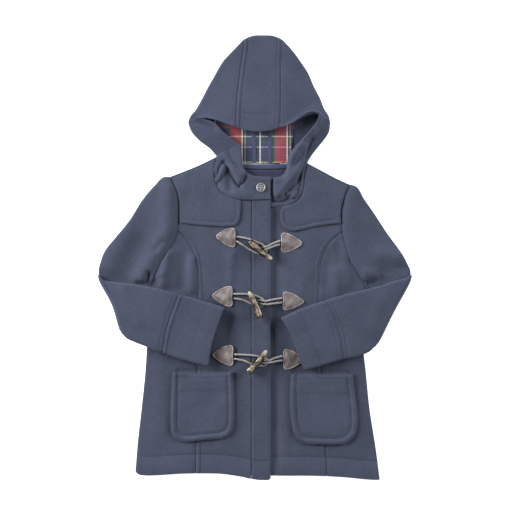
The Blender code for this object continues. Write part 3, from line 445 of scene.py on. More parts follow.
# %% Normals and distances
def normals(points, ring=False):
    """The cross product of the steps along the rows and along the columns, made one long."""
    if ring:
        round_off = np.concatenate([points[:, -1:], points, points[:, :1]], axis=1)
        du = round_off[:, 2:] - round_off[:, :-2]
    else:
        du = np.gradient(points, axis=1)
    n = np.cross(du, np.gradient(points, axis=0))
    return n / np.maximum(np.linalg.norm(n, axis=-1, keepdims=True), 1e-12)


def edges(points, ring=False):
    """Distance of each point from the first, last, start and end edges, along the surface."""
    first, start = lengths(points), turn(lengths(turn(points)))
    far = np.full(first.shape, 1e3)
    return {"first": far if ring else first, "last": far if ring else first[:, -1:] - first, "start": start,
            "end": start[-1:] - start}


sheet = deep(np.stack(np.meshgrid(np.arange(3.0), np.arange(3.0)), axis=-1), 0.0)
print(f"a flat sheet's normal: {normals(sheet)[1, 1]}")


# %% Meshes
def make(name, points, faces, finish, sharp=60, weld=False, marks_on=None):
    """A mesh object at the origin, from points in millimetres. marks_on names values kept on its points."""
    used, faces = np.unique(faces, return_inverse=True)
    faces = faces.reshape(-1, 4)
    placed = (points.reshape(-1, 3)[used] - CENTRE) * MM
    placed[:, 2] = np.maximum(placed[:, 2], 0)
    mesh = bpy.data.meshes.new(name)
    mesh.vertices.add(len(placed))
    mesh.vertices.foreach_set("co", placed.ravel().astype(np.float32))
    mesh.loops.add(faces.size)
    mesh.loops.foreach_set("vertex_index", faces.ravel().astype(np.int32))
    mesh.polygons.add(len(faces))
    mesh.polygons.foreach_set("loop_start", np.arange(0, faces.size, 4, dtype=np.int32))
    mesh.update(calc_edges=True)
    for key, values in (marks_on or {}).items():
        kept = mesh.attributes.new(key, "FLOAT", "POINT")
        kept.data.foreach_set("value", np.asarray(values, np.float32).reshape(-1)[used])
    if weld:
        solid = bmesh.new()
        solid.from_mesh(mesh)
        bmesh.ops.remove_doubles(solid, verts=solid.verts, dist=2e-6)
        bmesh.ops.dissolve_degenerate(solid, edges=solid.edges, dist=1e-7)
        solid.to_mesh(mesh)
        solid.free()
    mesh.validate()
    mesh.shade_smooth()
    mesh.set_sharp_from_angle(angle=math.radians(sharp))
    mesh.materials.append(finish)
    obj = bpy.data.objects.new(f"{name}_piece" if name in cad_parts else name, mesh)
    bpy.context.scene.collection.objects.link(obj)
    return obj


def all_round(grid):
    """A grid with its first column again after the last, for a surface that closes on itself."""
    return np.concatenate([grid, grid[:, :1]], axis=1)


def quads(index):
    """The four corners of each cell of a grid of point numbers, in order round the cell."""
    return np.stack([index[:-1, :-1], index[:-1, 1:], index[1:, 1:], index[1:, :-1]], axis=-1).reshape(-1, 4)


def two_faces(full, ring=False):
    """Faces of an outer and an inner grid that share the points where full is 0."""
    count = full.size
    outer = np.arange(count).reshape(full.shape)
    inner = np.where(full > 0, outer + count, outer)
    if ring:
        outer, inner = all_round(outer), all_round(inner)
    return np.concatenate([quads(outer), quads(inner)[:, ::-1]])


print(f"a grid of 3 x 4 points has {len(quads(np.arange(12).reshape(3, 4)))} cells")


def cloth(name, node_names, points, thick, finish, ring=False, up=None, ease=None,
          least=None):
    """A piece of cloth from the surface in its middle: out and in by half its thickness along the normal.

    up is the row and column of a point known to face up, and ease gives the relief to add there first.
    """
    normal = normals(points, ring)
    i, j = up or (len(points) // 2, points.shape[1] // 2)
    way = 1 if normal[i, j, 2] > 0 else -1
    normal *= way
    edge = edges(points, ring)
    full = np.interp(np.min(list(edge.values()), axis=0), EDGE_IN, EDGE_FULL)
    if ease is not None:
        points = points + [0, 0, 1] * (np.sign(normal[..., 2]) * ease(points, edge, normal))[..., None]
        lowest = thick / 2 if least is None else np.where(normal[..., 2] > 0.3, least, thick / 2)
        held_high = held_up(points[..., 2], lowest)
        points[..., 2] = np.where(normal[..., 2] > 0.3, held_high, np.maximum(points[..., 2], lowest))
        normal = way * normals(points, ring)
    lift = normal * (full * thick / 2)[..., None]
    faces = two_faces(full, ring)[:, ::way]
    obj = make(name, np.stack([points + lift, points - lift]), faces, finish)
    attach(obj, "root")
    if node_names:
        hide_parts(*node_names)
    lengths(turn(points)).max()
    return {"top": points + lift, "normal": normal}


# %% [markdown]
# ## Relief at seams and stitches
# Thick wool shows its making as low relief. A stitch line pulls a groove, the allowance folded under
# a seam swells the strip beside it, and the cloth dips where two pieces meet. Each is one bell or sine
# over the distance from an edge, so it follows any curved seam, which a sculpted dent would not.

# %% Dents and seams
def dent(d, at, low=0.55, wide=1.1):
    """The dent that a stitch line pulls into the cloth: -low * exp(-((d - at) / wide)^2)."""
    return -low * np.exp(-((d - at) / wide) ** 2)


def seam_swell(d, at, high=0.8):
    """The allowance under the cloth lifts the strip up to the stitch line: high * sin(pi * d / at)^0.7."""
    return high * np.sin(math.pi * np.clip(d / at, 0, 1)) ** 0.7


def valley(d, low=1.2, wide=2.4):
    """Cloth turns down into a seam: -low * exp(-(d / wide)^2)."""
    return -low * np.exp(-(d / wide) ** 2)


def facing_up(normal, least=0.2):
    """1 where the cloth faces up and 0 where it faces sideways or down: rise((normal's z - least) / 0.5)."""
    return rise((normal[..., 2] - least) / 0.5)


print(f"a stitch line dents the wool by {-dent(0, 0):.2f} mm, a seam by {-valley(0):.1f} mm")


# %% [markdown]
# ## Stitches
# Lockstitch shows as short dashes of thread, half sunk where they pull the cloth down. Each is a
# small capsule laid along its line, and thousands of them are one mesh from one array. The thread
# is nearly the cloth's colour, so it reads as texture and not as a drawn line.

# %% Thread
THREADS = {"wool": [], "leather": []}


def sew(route, normal, kind="wool", pitch=STITCH):
    """Marks stitches along a route on the surface, one pitch apart: middle, direction and normal."""
    route, normal = np.asarray(route, float), np.asarray(normal, float)
    along = measured(route)
    at = np.arange(pitch * 0.7, along[-1] - pitch * 0.5, pitch)
    if len(at):
        way = read_at(route, along, at + 0.6) - read_at(route, along, at - 0.6)
        THREADS[kind].append(np.stack([read_at(route, along, at), way, read_at(normal, along, at)], axis=1))


def sew_along(piece, side, at, part=(0, 1)):
    """A stitch line at this distance from one side of a piece, over this part of the side's length."""
    flips = {"first": lambda x: x, "last": lambda x: x[:, ::-1], "start": turn,
             "end": lambda x: turn(x[::-1])}
    top, normal = flips[side](piece["top"]), flips[side](piece["normal"])
    rows = slice(round(part[0] * len(top)), round(part[1] * len(top)))
    where = np.full((len(top), 1), float(at))
    sew(along_rows(top, where)[rows, 0], along_rows(top, where, normal)[rows, 0])


def make_thread(name, kind, finish, thick=0.36, long=2.5):
    """Capsules of five rings with five sides: radius thick * (0.05, 0.8, 1, 0.8, 0.05), the ends sunk in."""
    marked = np.concatenate(THREADS[kind])
    middle, way, up = marked[:, 0], unit(marked[:, 1]), marked[:, 2]
    side = unit(np.cross(way, up))
    up = np.cross(side, way)
    t = np.array([-0.5, -0.38, 0, 0.38, 0.5]) * long
    r = np.array([0.05, 0.8, 1, 0.8, 0.05]) * thick
    sink = np.array([-0.3, -0.05, 0.12, -0.05, -0.3])
    turns = np.arange(5) * 2 * math.pi / 5
    ring = (way[:, None, None] * t[None, :, None, None]
            + (side[:, None, None] * np.cos(turns)[None, None, :, None]
               + up[:, None, None] * np.sin(turns)[None, None, :, None]) * r[None, :, None, None]
            + up[:, None, None] * sink[None, :, None, None])
    points = middle[:, None, None] + ring
    index = np.arange(len(t) * len(turns)).reshape(len(t), len(turns))
    faces = np.concatenate([quads(all_round(index))[:, ::-1], [[4, 3, 2, 1], [21, 22, 23, 24]]])
    faces = (faces[None] + index.size * np.arange(len(middle))[:, None, None]).reshape(-1, 4)
    obj = make(name, points, faces, finish)
    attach(obj, "root")
    print(f"{name}: {len(middle)} stitches")


# %% [markdown]
# ## Finishes
# Melton is milled and brushed, so no yarns show: what the eye gets is a matt, slightly mottled
# colour with a soft bloom at glancing angles, which the sheen layer gives. Fibres are about 20
# microns thick and far too fine to draw, so the nap is drawn about a millimetre long.

# %% Nodes and colours
def linear(code):
    """sRGB hex to linear colour: c / 12.92 up to 0.04045, else ((c + 0.055) / 1.055)^2.4, and alpha 1."""
    parts = [int(code[k:k + 2], 16) / 255 for k in (0, 2, 4)]
    return (*[c / 12.92 if c <= 0.04045 else ((c + 0.055) / 1.055) ** 2.4 for c in parts], 1.0)


def add(tree, kind, inputs=None, **settings):
    """One node with its settings, and its inputs set or linked."""
    made = tree.nodes.new(kind)
    for key, value in settings.items():
        setattr(made, key, value)
    for key, value in (inputs or {}).items():
        if isinstance(value, bpy.types.NodeSocket):
            tree.links.new(value, made.inputs[key])
        else:
            made.inputs[key].default_value = value
    return made


# The kinds of node that the finishes use most
MATH, MIX, RANGE = "ShaderNodeMath", "ShaderNodeMix", "ShaderNodeMapRange"
NOISE, BUMP = "ShaderNodeTexNoise", "ShaderNodeBump"
PLACE, KEPT = "ShaderNodeTexCoord", "ShaderNodeAttribute"
print(f"hex 808080 is {linear('808080')[0]:.3f} in linear light")


def begin(name, rough, **fixed):
    """A new material, its node tree and its shader, with what is the same all over it."""
    made = bpy.data.materials.new(name)
    made.use_nodes = True
    shader = made.node_tree.nodes["Principled BSDF"]
    shader.inputs["Roughness"].default_value = rough
    for key, value in fixed.items():
        shader.inputs[key.replace("_", " ")].default_value = value
    return made, made.node_tree, shader


def ramp(tree, value, stops, interpolation="LINEAR"):
    """A colour for each value, from stops of (value, hex): blended between them, or held to the next one."""
    made = add(tree, "ShaderNodeValToRGB", {"Fac": value})
    made.color_ramp.interpolation = interpolation
    stops = sorted(stops)
    while len(made.color_ramp.elements) < len(stops):
        made.color_ramp.elements.new(0.5)
    for element, (at, code) in zip(made.color_ramp.elements, stops):
        element.position, element.color = at, linear(code)
    return made.outputs["Color"]


# %% Wool and thread
NAP_PATCH = 0.045  # metres across the slow patches that a milled cloth shows


def woolly(name, shades, nap=0.0011, sheen=0.15):
    """Milled wool: three shades of one colour by 0.78 * fine nap + 0.22 * slow patches, with a furry bump."""
    made, tree, shader = begin(name, 0.95, Sheen_Weight=sheen, Sheen_Roughness=0.45,
                               Sheen_Tint=linear("aab0d0"), Specular_IOR_Level=0.18)
    place = add(tree, PLACE).outputs["Object"]
    fine = add(tree, NOISE, {"Vector": place, "Scale": 1 / nap, "Detail": 3.0, "Roughness": 0.6})
    slow = add(tree, NOISE, {"Vector": place, "Scale": 1 / NAP_PATCH, "Detail": 3.0, "Roughness": 0.55})
    few = add(tree, MATH, {0: slow.outputs["Fac"], 1: 0.22}, operation="MULTIPLY")
    both = add(tree, MATH, {0: fine.outputs["Fac"], 1: 0.78, 2: few.outputs[0]}, operation="MULTIPLY_ADD")
    colour = ramp(tree, both.outputs[0], [(0.34, shades[0]), (0.5, shades[1]), (0.66, shades[2])])
    tree.links.new(colour, shader.inputs["Base Color"])
    felt = add(tree, NOISE, {"Vector": place, "Scale": 1 / (nap * 0.6), "Detail": 2.0})
    bump = add(tree, BUMP, {"Height": felt.outputs["Fac"], "Strength": 0.35, "Distance": 0.0003})
    tree.links.new(bump.outputs["Normal"], shader.inputs["Normal"])
    return made


melton = woolly("navy wool melton", ("363b4b", "414657", "4d5264"))
facing_cloth = woolly("dark purple facing twill", ("2d2c42", "36354c", "403f57"), nap=0.0008)
tape_cloth = woolly("navy cotton tape", ("3a3e55", "454961", "50546c"), nap=0.0007)
thread = woolly("navy polyester thread", ("363b50", "40455b", "4a4f66"), nap=0.0006, sheen=0.2)
print("finishes: " + ", ".join(made.name for made in (melton, facing_cloth, tape_cloth, thread)))

# %% [markdown]
# The hood's lining is a tartan. A tartan is one list of stripes used twice, across and along, and
# woven as a twill: at each crossing the eye gets a little more of the warp than of the weft, so two
# navy stripes make a solid block and a white over navy makes a dotted line. Two ramps hold the
# stripes, and a diagonal pattern of threads picks one or the other. Real threads lie about half a
# millimetre apart, and the pattern is drawn at 1.4 mm so that it shows.

# %% Tartan
SETT = 79.0  # mm from one repeat to the next
WARP = [(0, "363a4e"), (9.4, "d8d6d0"), (11.6, "3c4058"), (31.0, "355448"), (36.5, "a0424c"),
        (57.0, "dedad4"), (59.2, "3c4058"), (62.5, "b0a552"), (64.0, "333c63"), (72.0, "3c4058")]
WEFT = [(0, "3c4058"), (6.8, "d8d6d0"), (8.6, "a3a960"), (10.4, "3c4058"), (34.4, "b4b3b4"), (36.2, "3c4058"),
        (42.0, "355448"), (53.0, "d8d6d0"), (55.0, "3c4058"), (68.0, "a0424c"), (74.0, "3c4058")]
WEFT_FROM = 158.0  # drawn y where the weft's list starts
WEFT_SHOWS = 0.36  # of each thread's width
TWILL = 0.0014  # metres from one drawn thread to the next


def tartan(name):
    """Stripes by x and by y, mixed by thread: the weft shows in the last share of each (x + y) / TWILL."""
    made, tree, shader = begin(name, 0.9, Sheen_Weight=0.2, Specular_IOR_Level=0.25)
    place = add(tree, PLACE).outputs["Object"]
    parts = add(tree, "ShaderNodeSeparateXYZ", {"Vector": place})

    def stripes(value, first, table):
        """The table's colour at the fraction of (value - first) / SETT."""
        far = add(tree, MATH, {0: value, 1: 1000 / SETT, 2: -first / SETT}, operation="MULTIPLY_ADD")
        share = add(tree, MATH, {0: far.outputs[0]}, operation="FRACT")
        return ramp(tree, share.outputs[0], [(at / SETT, code) for at, code in table], "CONSTANT")

    warp = stripes(parts.outputs["X"], -CENTRE[0], WARP)
    weft = stripes(parts.outputs["Y"], WEFT_FROM - CENTRE[1], WEFT)
    slant = add(tree, MATH, {0: parts.outputs["X"], 1: parts.outputs["Y"]}, operation="ADD")
    threads = add(tree, MATH, {0: slant.outputs[0], 1: 1 / TWILL}, operation="MULTIPLY")
    within = add(tree, MATH, {0: threads.outputs[0]}, operation="FRACT")
    which = add(tree, MATH, {0: within.outputs[0], 1: 1 - WEFT_SHOWS}, operation="GREATER_THAN")
    mixed = add(tree, MIX, data_type="RGBA")
    for key, value in ((0, which.outputs[0]), (6, warp), (7, weft)):
        tree.links.new(value, mixed.inputs[key])
    tree.links.new(mixed.outputs[2], shader.inputs["Base Color"])
    bump = add(tree, BUMP, {"Height": within.outputs[0], "Strength": 0.3, "Distance": 0.0002})
    tree.links.new(bump.outputs["Normal"], shader.inputs["Normal"])
    return made


plaid = tartan("wool tartan twill")
print(f"{plaid.name}: {len(WARP)} warp and {len(WEFT)} weft stripes in {SETT:.0f} mm")

# %% [markdown]
# The patches are split cow leather with a dry, rubbed finish, greyish brown and paler in patches
# along the edge. The cords are waxed and braided, with painted shade in the braid's grooves and a
# painted highlight on its strands. The toggles are tips of horn: streaks run along them, pale where
# the horn is thin, with painted shade along their sides, and they are polished. The snap is a cast
# zinc cap. Each pattern follows its piece by a value kept on the mesh: the distance from the edge,
# along or around it.

# %% Leather and cord
LEATHER_PATCH, GRAIN = 0.012, 0.0009  # metres across the mottling and across a cell of the grain
BRAID, STRANDS = 1.9, 4  # mm from one crossing to the next, and strands each way round


def leathery(name):
    """Mottled brown by slow noise, paler in patches within 1.5 mm of the edge, and a cell grain."""
    made, tree, shader = begin(name, 0.65, Specular_IOR_Level=0.35)
    place = add(tree, PLACE).outputs["Object"]
    slow = add(tree, NOISE, {"Vector": place, "Scale": 1 / LEATHER_PATCH, "Detail": 4.0})
    skin = ramp(tree, slow.outputs["Fac"], [(0.3, "5b5252"), (0.5, "716868"), (0.7, "8a8180")])
    near = add(tree, KEPT, attribute_name="inset")
    pale = add(tree, RANGE, {"Value": near.outputs["Fac"], 1: 0.4, 2: 1.5, 3: 1.0, 4: 0.0})
    patchy = add(tree, RANGE, {"Value": slow.outputs["Fac"], 1: 0.38, 2: 0.6, 3: 0.1, 4: 0.8})
    edge = add(tree, MATH, {0: pale.outputs[0], 1: patchy.outputs[0]}, operation="MULTIPLY")
    mixed = add(tree, MIX, {6: skin, 7: linear("bdb4b2")}, data_type="RGBA")
    tree.links.new(edge.outputs[0], mixed.inputs[0])
    tree.links.new(mixed.outputs[2], shader.inputs["Base Color"])
    cells = add(tree, "ShaderNodeTexVoronoi", {"Vector": place, "Scale": 1 / GRAIN},
                feature="DISTANCE_TO_EDGE")
    bump = add(tree, BUMP, {"Height": cells.outputs["Distance"], "Strength": 0.3, "Distance": 0.0002})
    tree.links.new(bump.outputs["Normal"], shader.inputs["Normal"])
    return made


def braided(name):
    """Two sets of strands that cross: the greater of sin(along + round) and sin(along - round)."""
    made, tree, shader = begin(name, 0.38, Specular_IOR_Level=0.6)
    along = add(tree, KEPT, attribute_name="along").outputs["Fac"]
    around = add(tree, KEPT, attribute_name="around").outputs["Fac"]
    waves = []
    for sign in (1.0, -1.0):
        whole = add(tree, MATH, {0: around, 1: sign * STRANDS * math.pi * 2, 2: 0.0},
                    operation="MULTIPLY_ADD")
        phase = add(tree, MATH, {0: along, 1: 2 * math.pi / BRAID, 2: whole.outputs[0]},
                    operation="MULTIPLY_ADD")
        waves.append(add(tree, MATH, {0: phase.outputs[0]}, operation="SINE").outputs[0])
    top = add(tree, MATH, {0: waves[0], 1: waves[1]}, operation="MAXIMUM").outputs[0]
    # painted shade and painted highlight: the braid is coloured near black where it is low, in its grooves,
    # and pale where it is high, on its strands
    colour = ramp(tree, top, [(0.0, "2a2624"), (0.45, "7b7673"), (1.0, "c9c4bf")])
    tree.links.new(colour, shader.inputs["Base Color"])
    bump = add(tree, BUMP, {"Height": top, "Strength": 0.6, "Distance": 0.0003})
    tree.links.new(bump.outputs["Normal"], shader.inputs["Normal"])
    return made


leather = leathery("rubbed split leather")
cord_finish = braided("waxed braided cord")
print(f"finishes: {leather.name}, {cord_finish.name}")

# %% Horn and metal
TIP_FROM, TIP_TO = 38.0, 50.0  # mm along a toggle where the pale tip begins and is full


def streaked(name):
    """Streaks: 2.2 * noise stretched lengthways, with painted shade (less 0.7 at the sides and 0.35 on top),
    and a pale tip.
    """
    made, tree, shader = begin(name, 0.28, Specular_IOR_Level=0.5, Coat_Weight=0.3, Coat_Roughness=0.15)
    along = add(tree, KEPT, attribute_name="along").outputs["Fac"]
    around = add(tree, KEPT, attribute_name="around").outputs["Fac"]
    angle = add(tree, MATH, {0: around, 1: 2 * math.pi}, operation="MULTIPLY").outputs[0]
    x = add(tree, MATH, {0: angle}, operation="COSINE").outputs[0]
    y = add(tree, MATH, {0: angle}, operation="SINE").outputs[0]
    z = add(tree, MATH, {0: along, 1: 0.045}, operation="MULTIPLY").outputs[0]
    at = add(tree, "ShaderNodeCombineXYZ", {"X": x, "Y": y, "Z": z}).outputs[0]
    streaks = add(tree, NOISE, {"Vector": at, "Scale": 1.9, "Detail": 4.0, "Roughness": 0.6})
    # painted shade: y is how far the surface faces up, and the horn's sides are coloured darker than its top
    painted_side_shade = add(tree, RANGE, {"Value": y, 1: 0.4, 2: 0.97, 3: -0.7, 4: -0.35}).outputs[0]
    both = add(tree, MATH, {0: streaks.outputs["Fac"], 1: 2.2, 2: painted_side_shade}, operation="MULTIPLY_ADD").outputs[0]
    colour = ramp(tree, both, [(0.35, "120d0b"), (0.55, "2c2118"), (0.74, "5f5341"), (0.95, "a89f89"),
                               (1.12, "8a806d")])
    ends = add(tree, RANGE, {"Value": along, 1: TIP_FROM, 2: TIP_TO, 3: 0.0, 4: 0.75})
    mixed = add(tree, MIX, {6: colour, 7: linear("c4b8a4")}, data_type="RGBA")
    tree.links.new(ends.outputs[0], mixed.inputs[0])
    tree.links.new(mixed.outputs[2], shader.inputs["Base Color"])
    return made


def cast(name):
    """Cast zinc, worn in patches 1.2 mm across, and nearly black where the mesh says that it lies low."""
    made, tree, shader = begin(name, 0.5, Metallic=0.6)
    place = add(tree, PLACE).outputs["Object"]
    patchy = add(tree, NOISE, {"Vector": place, "Scale": 1 / 0.0012, "Detail": 3.0})
    low = add(tree, KEPT, attribute_name="low").outputs["Fac"]
    pale = ramp(tree, patchy.outputs["Fac"], [(0.3, "8b8d91"), (0.7, "b3b4b6")])
    mixed = add(tree, MIX, {6: pale, 7: linear("15161a")}, data_type="RGBA")
    tree.links.new(low, mixed.inputs[0])
    tree.links.new(mixed.outputs[2], shader.inputs["Base Color"])
    return made


horn = streaked("polished horn")
zinc = cast("antiqued cast zinc")
print(f"finishes: {horn.name}, {zinc.name}")


# %% [markdown]
# ## Body
# Six long pieces make the body: a middle front and a side front on each side, the placket down the
# centre and the back. A princess seam joins middle and side, pressed towards the centre and stitched
# down 8 mm in, and the hem is turned up and stitched 33 mm from the edge.

# %% Turning down at a closed edge
def roll_down(points, lowest=0.4):
    """After each row's last point: an arc of ROLL down to the vertical, then straight down to lowest."""
    points = cut(points, 0, ROLL + WOOL / 2)
    way = unit((points[:, -1] - points[:, -3]) * [1, 1, 0])
    angle = np.radians(np.arange(12, 91, 13))
    step = way[:, None] * (ROLL * np.sin(angle))[None, :, None]
    step[..., 2] -= ROLL * (1 - np.cos(angle))
    arc = points[:, -1:] + step
    foot = arc[:, -1:].copy()
    foot[..., 2] = lowest
    middle = (arc[:, -1:] + foot) / 2
    return np.concatenate([points, arc, middle, foot], axis=1)


BODY_STITCH, HEM_STITCH = 8.0, 33.0  # mm from the princess seam and from the hem


def body_ease(long, seed, seam_to=None, joined=(), extra=()):
    """Swell, folds, a valley at each joined edge, the princess seam's relief up to seam_to, and the hem's.

    The hem is 1 mm thicker below its stitch line, by 1 - rise((d - HEM_STITCH) / 4).
    """
    def ease(points, edge, normal):
        """The sum of these heights, where the cloth faces up."""
        high = swell(points, 0.35, long, seed) + folds(points[..., :2], extra)
        if seam_to:
            d, on = edge["first"], rise((seam_to - edge["start"]) / 12)
            high = high + (dent(d, BODY_STITCH) + seam_swell(d, BODY_STITCH)) * on
        for at in joined:
            high = high + valley(edge[at])
        d = edge["start"]
        high = high + dent(d, HEM_STITCH, 1.6, 2.3) + 1.0 * (1 - rise((d - HEM_STITCH) / 4)) * rise(d / 8)
        return high * (normal[..., 2] > 0.5)
    return ease


print(f"a closed edge turns down by a radius of {ROLL} mm, and the hem is stitched {HEM_STITCH:.0f} mm up")


# %% Middle and side fronts
PRINCESS = 0.79  # share of a middle front's outer side that is its princess seam; the rest is armhole


def make_front(name, side, laps, seed, extra=()):
    """Coons patch from armhole and princess seam across to neckline and edge, and from shoulder to hem."""
    shares = (0.2, 0.8)
    outer = line(side["armhole_upper"], side["princess"], shares=shares)
    inner = line(side["neckline"], side["front_edge"], shares=shares)
    u, v = np.meshgrid(np.linspace(0, 1, 60), np.r_[np.linspace(0, 0.2, 50)[:-1], np.linspace(0.2, 1, 170)])
    plan = coons(u, v, outer, inner, line(side["shoulder"][::-1]), line(side["front_hem"]))
    points = cut(deep(plan, front_height(plan, laps)), SEAM_GAP / 2, SEAM_GAP / 2)
    points = turn(roll_down(turn(points[::-1])))
    points = across(points, 2.8, first=(BODY_STITCH,), start=(HEM_STITCH,))
    seam_to = lengths(turn(points))[0, -1] * PRINCESS
    piece = cloth(name, [name], points, WOOL, melton,
                  ease=body_ease(80, seed, seam_to, ("first",), extra), least=ON_BACK)
    sew_along(piece, "first", BODY_STITCH, (0.01, 0.78))
    sew_along(piece, "start", HEM_STITCH)


def under_sleeve(side, by=1.6):
    """The lower armhole and the side seam, with the armhole by mm further out, under the sleeve's edge."""
    shift = np.array([math.copysign(by, side["side"][0][0]), 0])
    armhole = np.array(side["armhole_lower"], float) + shift * np.minimum(np.arange(6)[:, None], 1)
    return armhole, np.r_[armhole[-1:], np.array(side["side"][1:], float)]


def make_side(name, side, laps, seed, extra=()):
    """Coons patch from the princess seam across to the side seam, and from the armhole down to the hem."""
    u, v = np.meshgrid(np.linspace(0, 1, 50), np.linspace(0, 1, 180))
    armhole, outer = under_sleeve(side)
    plan = coons(u, v, line(side["princess"]), line(outer), line(armhole), line(side["side_hem"][::-1]))
    points = roll_down(cut(deep(plan, front_height(plan, laps)), SEAM_GAP / 2, 0))
    points = across(points[::-1], 2.8, start=(HEM_STITCH,))
    piece = cloth(name, [name], points, WOOL, melton,
                  ease=body_ease(60, seed, joined=("first", "end"), extra=extra),
                  up=(len(points) // 2, points.shape[1] // 3), least=ON_BACK)
    sew_along(piece, "start", HEM_STITCH)


# Height, half width and line of the smaller creases, as they lie on each panel
RIGHT_CREASES = [
    (-1.2, 9, (-95, 0), (-70, -30)), (-1.0, 8, (-100, -195), (-60, -215)),
    (0.8, 12, (-60, -330), (-30, -250)), (2.4, 8, (-39, 2), (-41, -40)),
    (-1.8, 3.5, (-124, -198.5), (-44, -198.5)), (-4.5, 18, (-50, -100), (-40, -168)),
]
LEFT_CREASES = [
    (-2.6, 7, (37, 80), (37, -370)), (1.0, 10, (96, -20), (78, -60)), (-0.9, 9, (70, -300), (60, -370)),
    (-1.8, 3.5, (70, -201), (118, -201)), (-4.0, 16, (48, -108), (56, -172)),
    (1.4, 12, (60, 30), (58, -60)),
]
SIDE_RIGHT_CREASES = [
    (-3.0, 9, (-126, 0), (-128, -52)), (6.0, 10, (-152, 4), (-160, -46)), (4.0, 8, (-109, -6), (-108, -56)),
    (-2.0, 8, (-178, -48), (-140, -57), (-112, -66)), (-1.0, 12, (-150, -210), (-140, -300)),
    (-1.8, 3.5, (-132, -198.5), (-90, -198.5)), (1.8, 4, (-170, -32), (-158, -27)),
]
SIDE_LEFT_CREASES = [
    (-1.8, 7, (149, 30), (149, -8)), (-2.6, 10, (168, -10), (181, -42)), (-1.6, 10, (132, 6), (126, -50)),
    (3.5, 9, (140, -28), (146, -62)), (-2.0, 8, (190, -54), (150, -64), (124, -74)),
    (-1.0, 12, (170, -210), (165, -320)), (-1.8, 3.5, (110, -201), (162, -201)),
]
make_front("front_right", RIGHT, True, 3, RIGHT_CREASES)
make_front("front_left", LEFT, False, 4, LEFT_CREASES)
make_side("side_front_right", RIGHT, True, 5, SIDE_RIGHT_CREASES)
make_side("side_front_left", LEFT, False, 6, SIDE_LEFT_CREASES)


# %% [markdown]
# The placket is a straight double band over the right front's edge, so it is a plain grid on the
# height of the lap, with its own two stitch lines. The back lies flat on the table. It shows only as
# the layer inside the neck and as the body's underside, and one wide patch is enough for it.

# %% Placket and back
PLACKET_SEAM, PLACKET_EDGE = 2.5, 3.5  # mm from the placket's seam and from its edge to their stitches


def make_placket():
    """A straight band over the lapped front, with a stitch line along its seam and one along its edge."""
    x, y = np.meshgrid(np.linspace(PLACKET[0] + SEAM_GAP, PLACKET[1], 16), np.linspace(0, 1, 180))
    low = np.interp(x, [-5, 9, 25, 27.6, 29], [-386.8, -389, -389, -388, -385.5])
    y = low + (PLACKET[2] - low) * y
    plan = np.stack([x, y], axis=-1)
    points = across(deep(plan, front_height(plan, True)), 2.6, first=(PLACKET_SEAM,), last=(PLACKET_EDGE,),
                    start=(HEM_STITCH,))

    def ease(points, edge, normal):
        """Swell, the seam's valley with a soft ridge beside it, and the dents of two stitch lines."""
        return (swell(points, 0.25, 60, 8) + valley(edge["first"], 0.9, 1.6)
                + dent(edge["last"], PLACKET_EDGE, 0.35, 0.9)
                + 0.5 * np.exp(-((edge["first"] - 4.5) / 2.2) ** 2)
                + dent(edge["start"], HEM_STITCH, 0.6, 1.3))

    piece = cloth("placket", ["placket"], points, WOOL, melton, ease=ease)
    sew_along(piece, "first", PLACKET_SEAM)
    sew_along(piece, "last", PLACKET_EDGE)
    sew_along(piece, "start", HEM_STITCH)


def make_back():
    """One flat patch, inside the rolled edges of the front: further in at the shoulders than at the sides."""
    sides = [line(s["side"][::-1], s["armhole_lower"][::-1], s["armhole_upper"][::-1], s["shoulder"][::-1],
                  shares=(0.52, 0.16, 0.16, 0.16)) for s in (RIGHT, LEFT)]
    hem = line(RIGHT["side_hem"] + RIGHT["front_hem"][1:-1] + LEFT["front_hem"][::-1]
               + LEFT["side_hem"][-2::-1])
    v = np.linspace(0, 1, 104)
    plan = coons(np.linspace(0, 1, 70)[None], v[:, None], *sides, hem, line(BACK_NECK))
    inset = np.interp(v, [0, 0.51, 0.53, 0.8, 0.84, 1], [WOOL + 1.4, WOOL + 1.4, 0, 0, 11, 11])
    points = turn(cut(turn(cut(deep(plan, BACK_MID), inset, inset)), 1.0, SEAM_GAP))
    cloth("back", ["back"], across(points, 6), WOOL, melton)


make_placket()
make_back()

# %% [markdown]
# ## Sleeves and cuffs
# A laid sleeve is a flat tube, and the elbow folds it over itself, so its underside ends up on top.
# Each ring of points goes once round the tube. The upper arm runs from the armhole to the crease,
# half a turn carries the rings round the fold, and the forearm lies back over it.

# %% A flat tube
def ring_shares(wide=26):
    """Once round a flat tube: share of the width, half-heights added to it, and share of the height."""
    arc = np.radians(np.linspace(0, 90, 7))
    up = np.stack([0 * arc, 1 - np.cos(arc), 0.5 + 0.5 * np.sin(arc)], axis=1)
    k = np.linspace(0, 1, wide + 2)[1:-1]
    top = np.stack([k, 1 - 2 * k, 0 * k + 1], axis=1)
    far = np.stack([1 + 0 * arc, np.cos(arc) - 1, 0.5 + 0.5 * np.sin(arc)], axis=1)[::-1]
    low = far[::-1][1:] * [1, 1, -1] + [0, 0, 1]
    under = np.stack([k[::-1], 1 - 2 * k[::-1], 0 * k], axis=1)
    return np.concatenate([up, top, far, low, under, (up[::-1] * [1, 1, -1] + [0, 0, 1])[:-1]])


RING = ring_shares()
print(f"{len(RING)} points round a sleeve")


def tube(v, outer, inner, start, end, closer=0.0):
    """Plan of the rings at v and their share of the height, from the outer side seam round by the top.

    closer is how many millimetres a ring reaches past its inner seam.
    """
    wide = np.linalg.norm(inner(v) - outer(v), axis=-1)[:, None]
    share, added, tall = RING.T[:, None]
    inset = WOOL / 2 + 0.6
    at = (share * (wide - 2 * inset + np.reshape(closer, (-1, 1))) + inset + added * SLEEVE_HALF) / wide
    return coons(at, v[:, None], outer, inner, start, end), np.repeat(tall, len(v), axis=0)


SLEEVE_TUCK = 0.9  # mm by which the sleeve's head passes over the armhole's edge
CUFF_STITCH, CUFF_TURN = 7.0, 32.0  # mm from the cuff's seam, and from its end to the turned-in edge


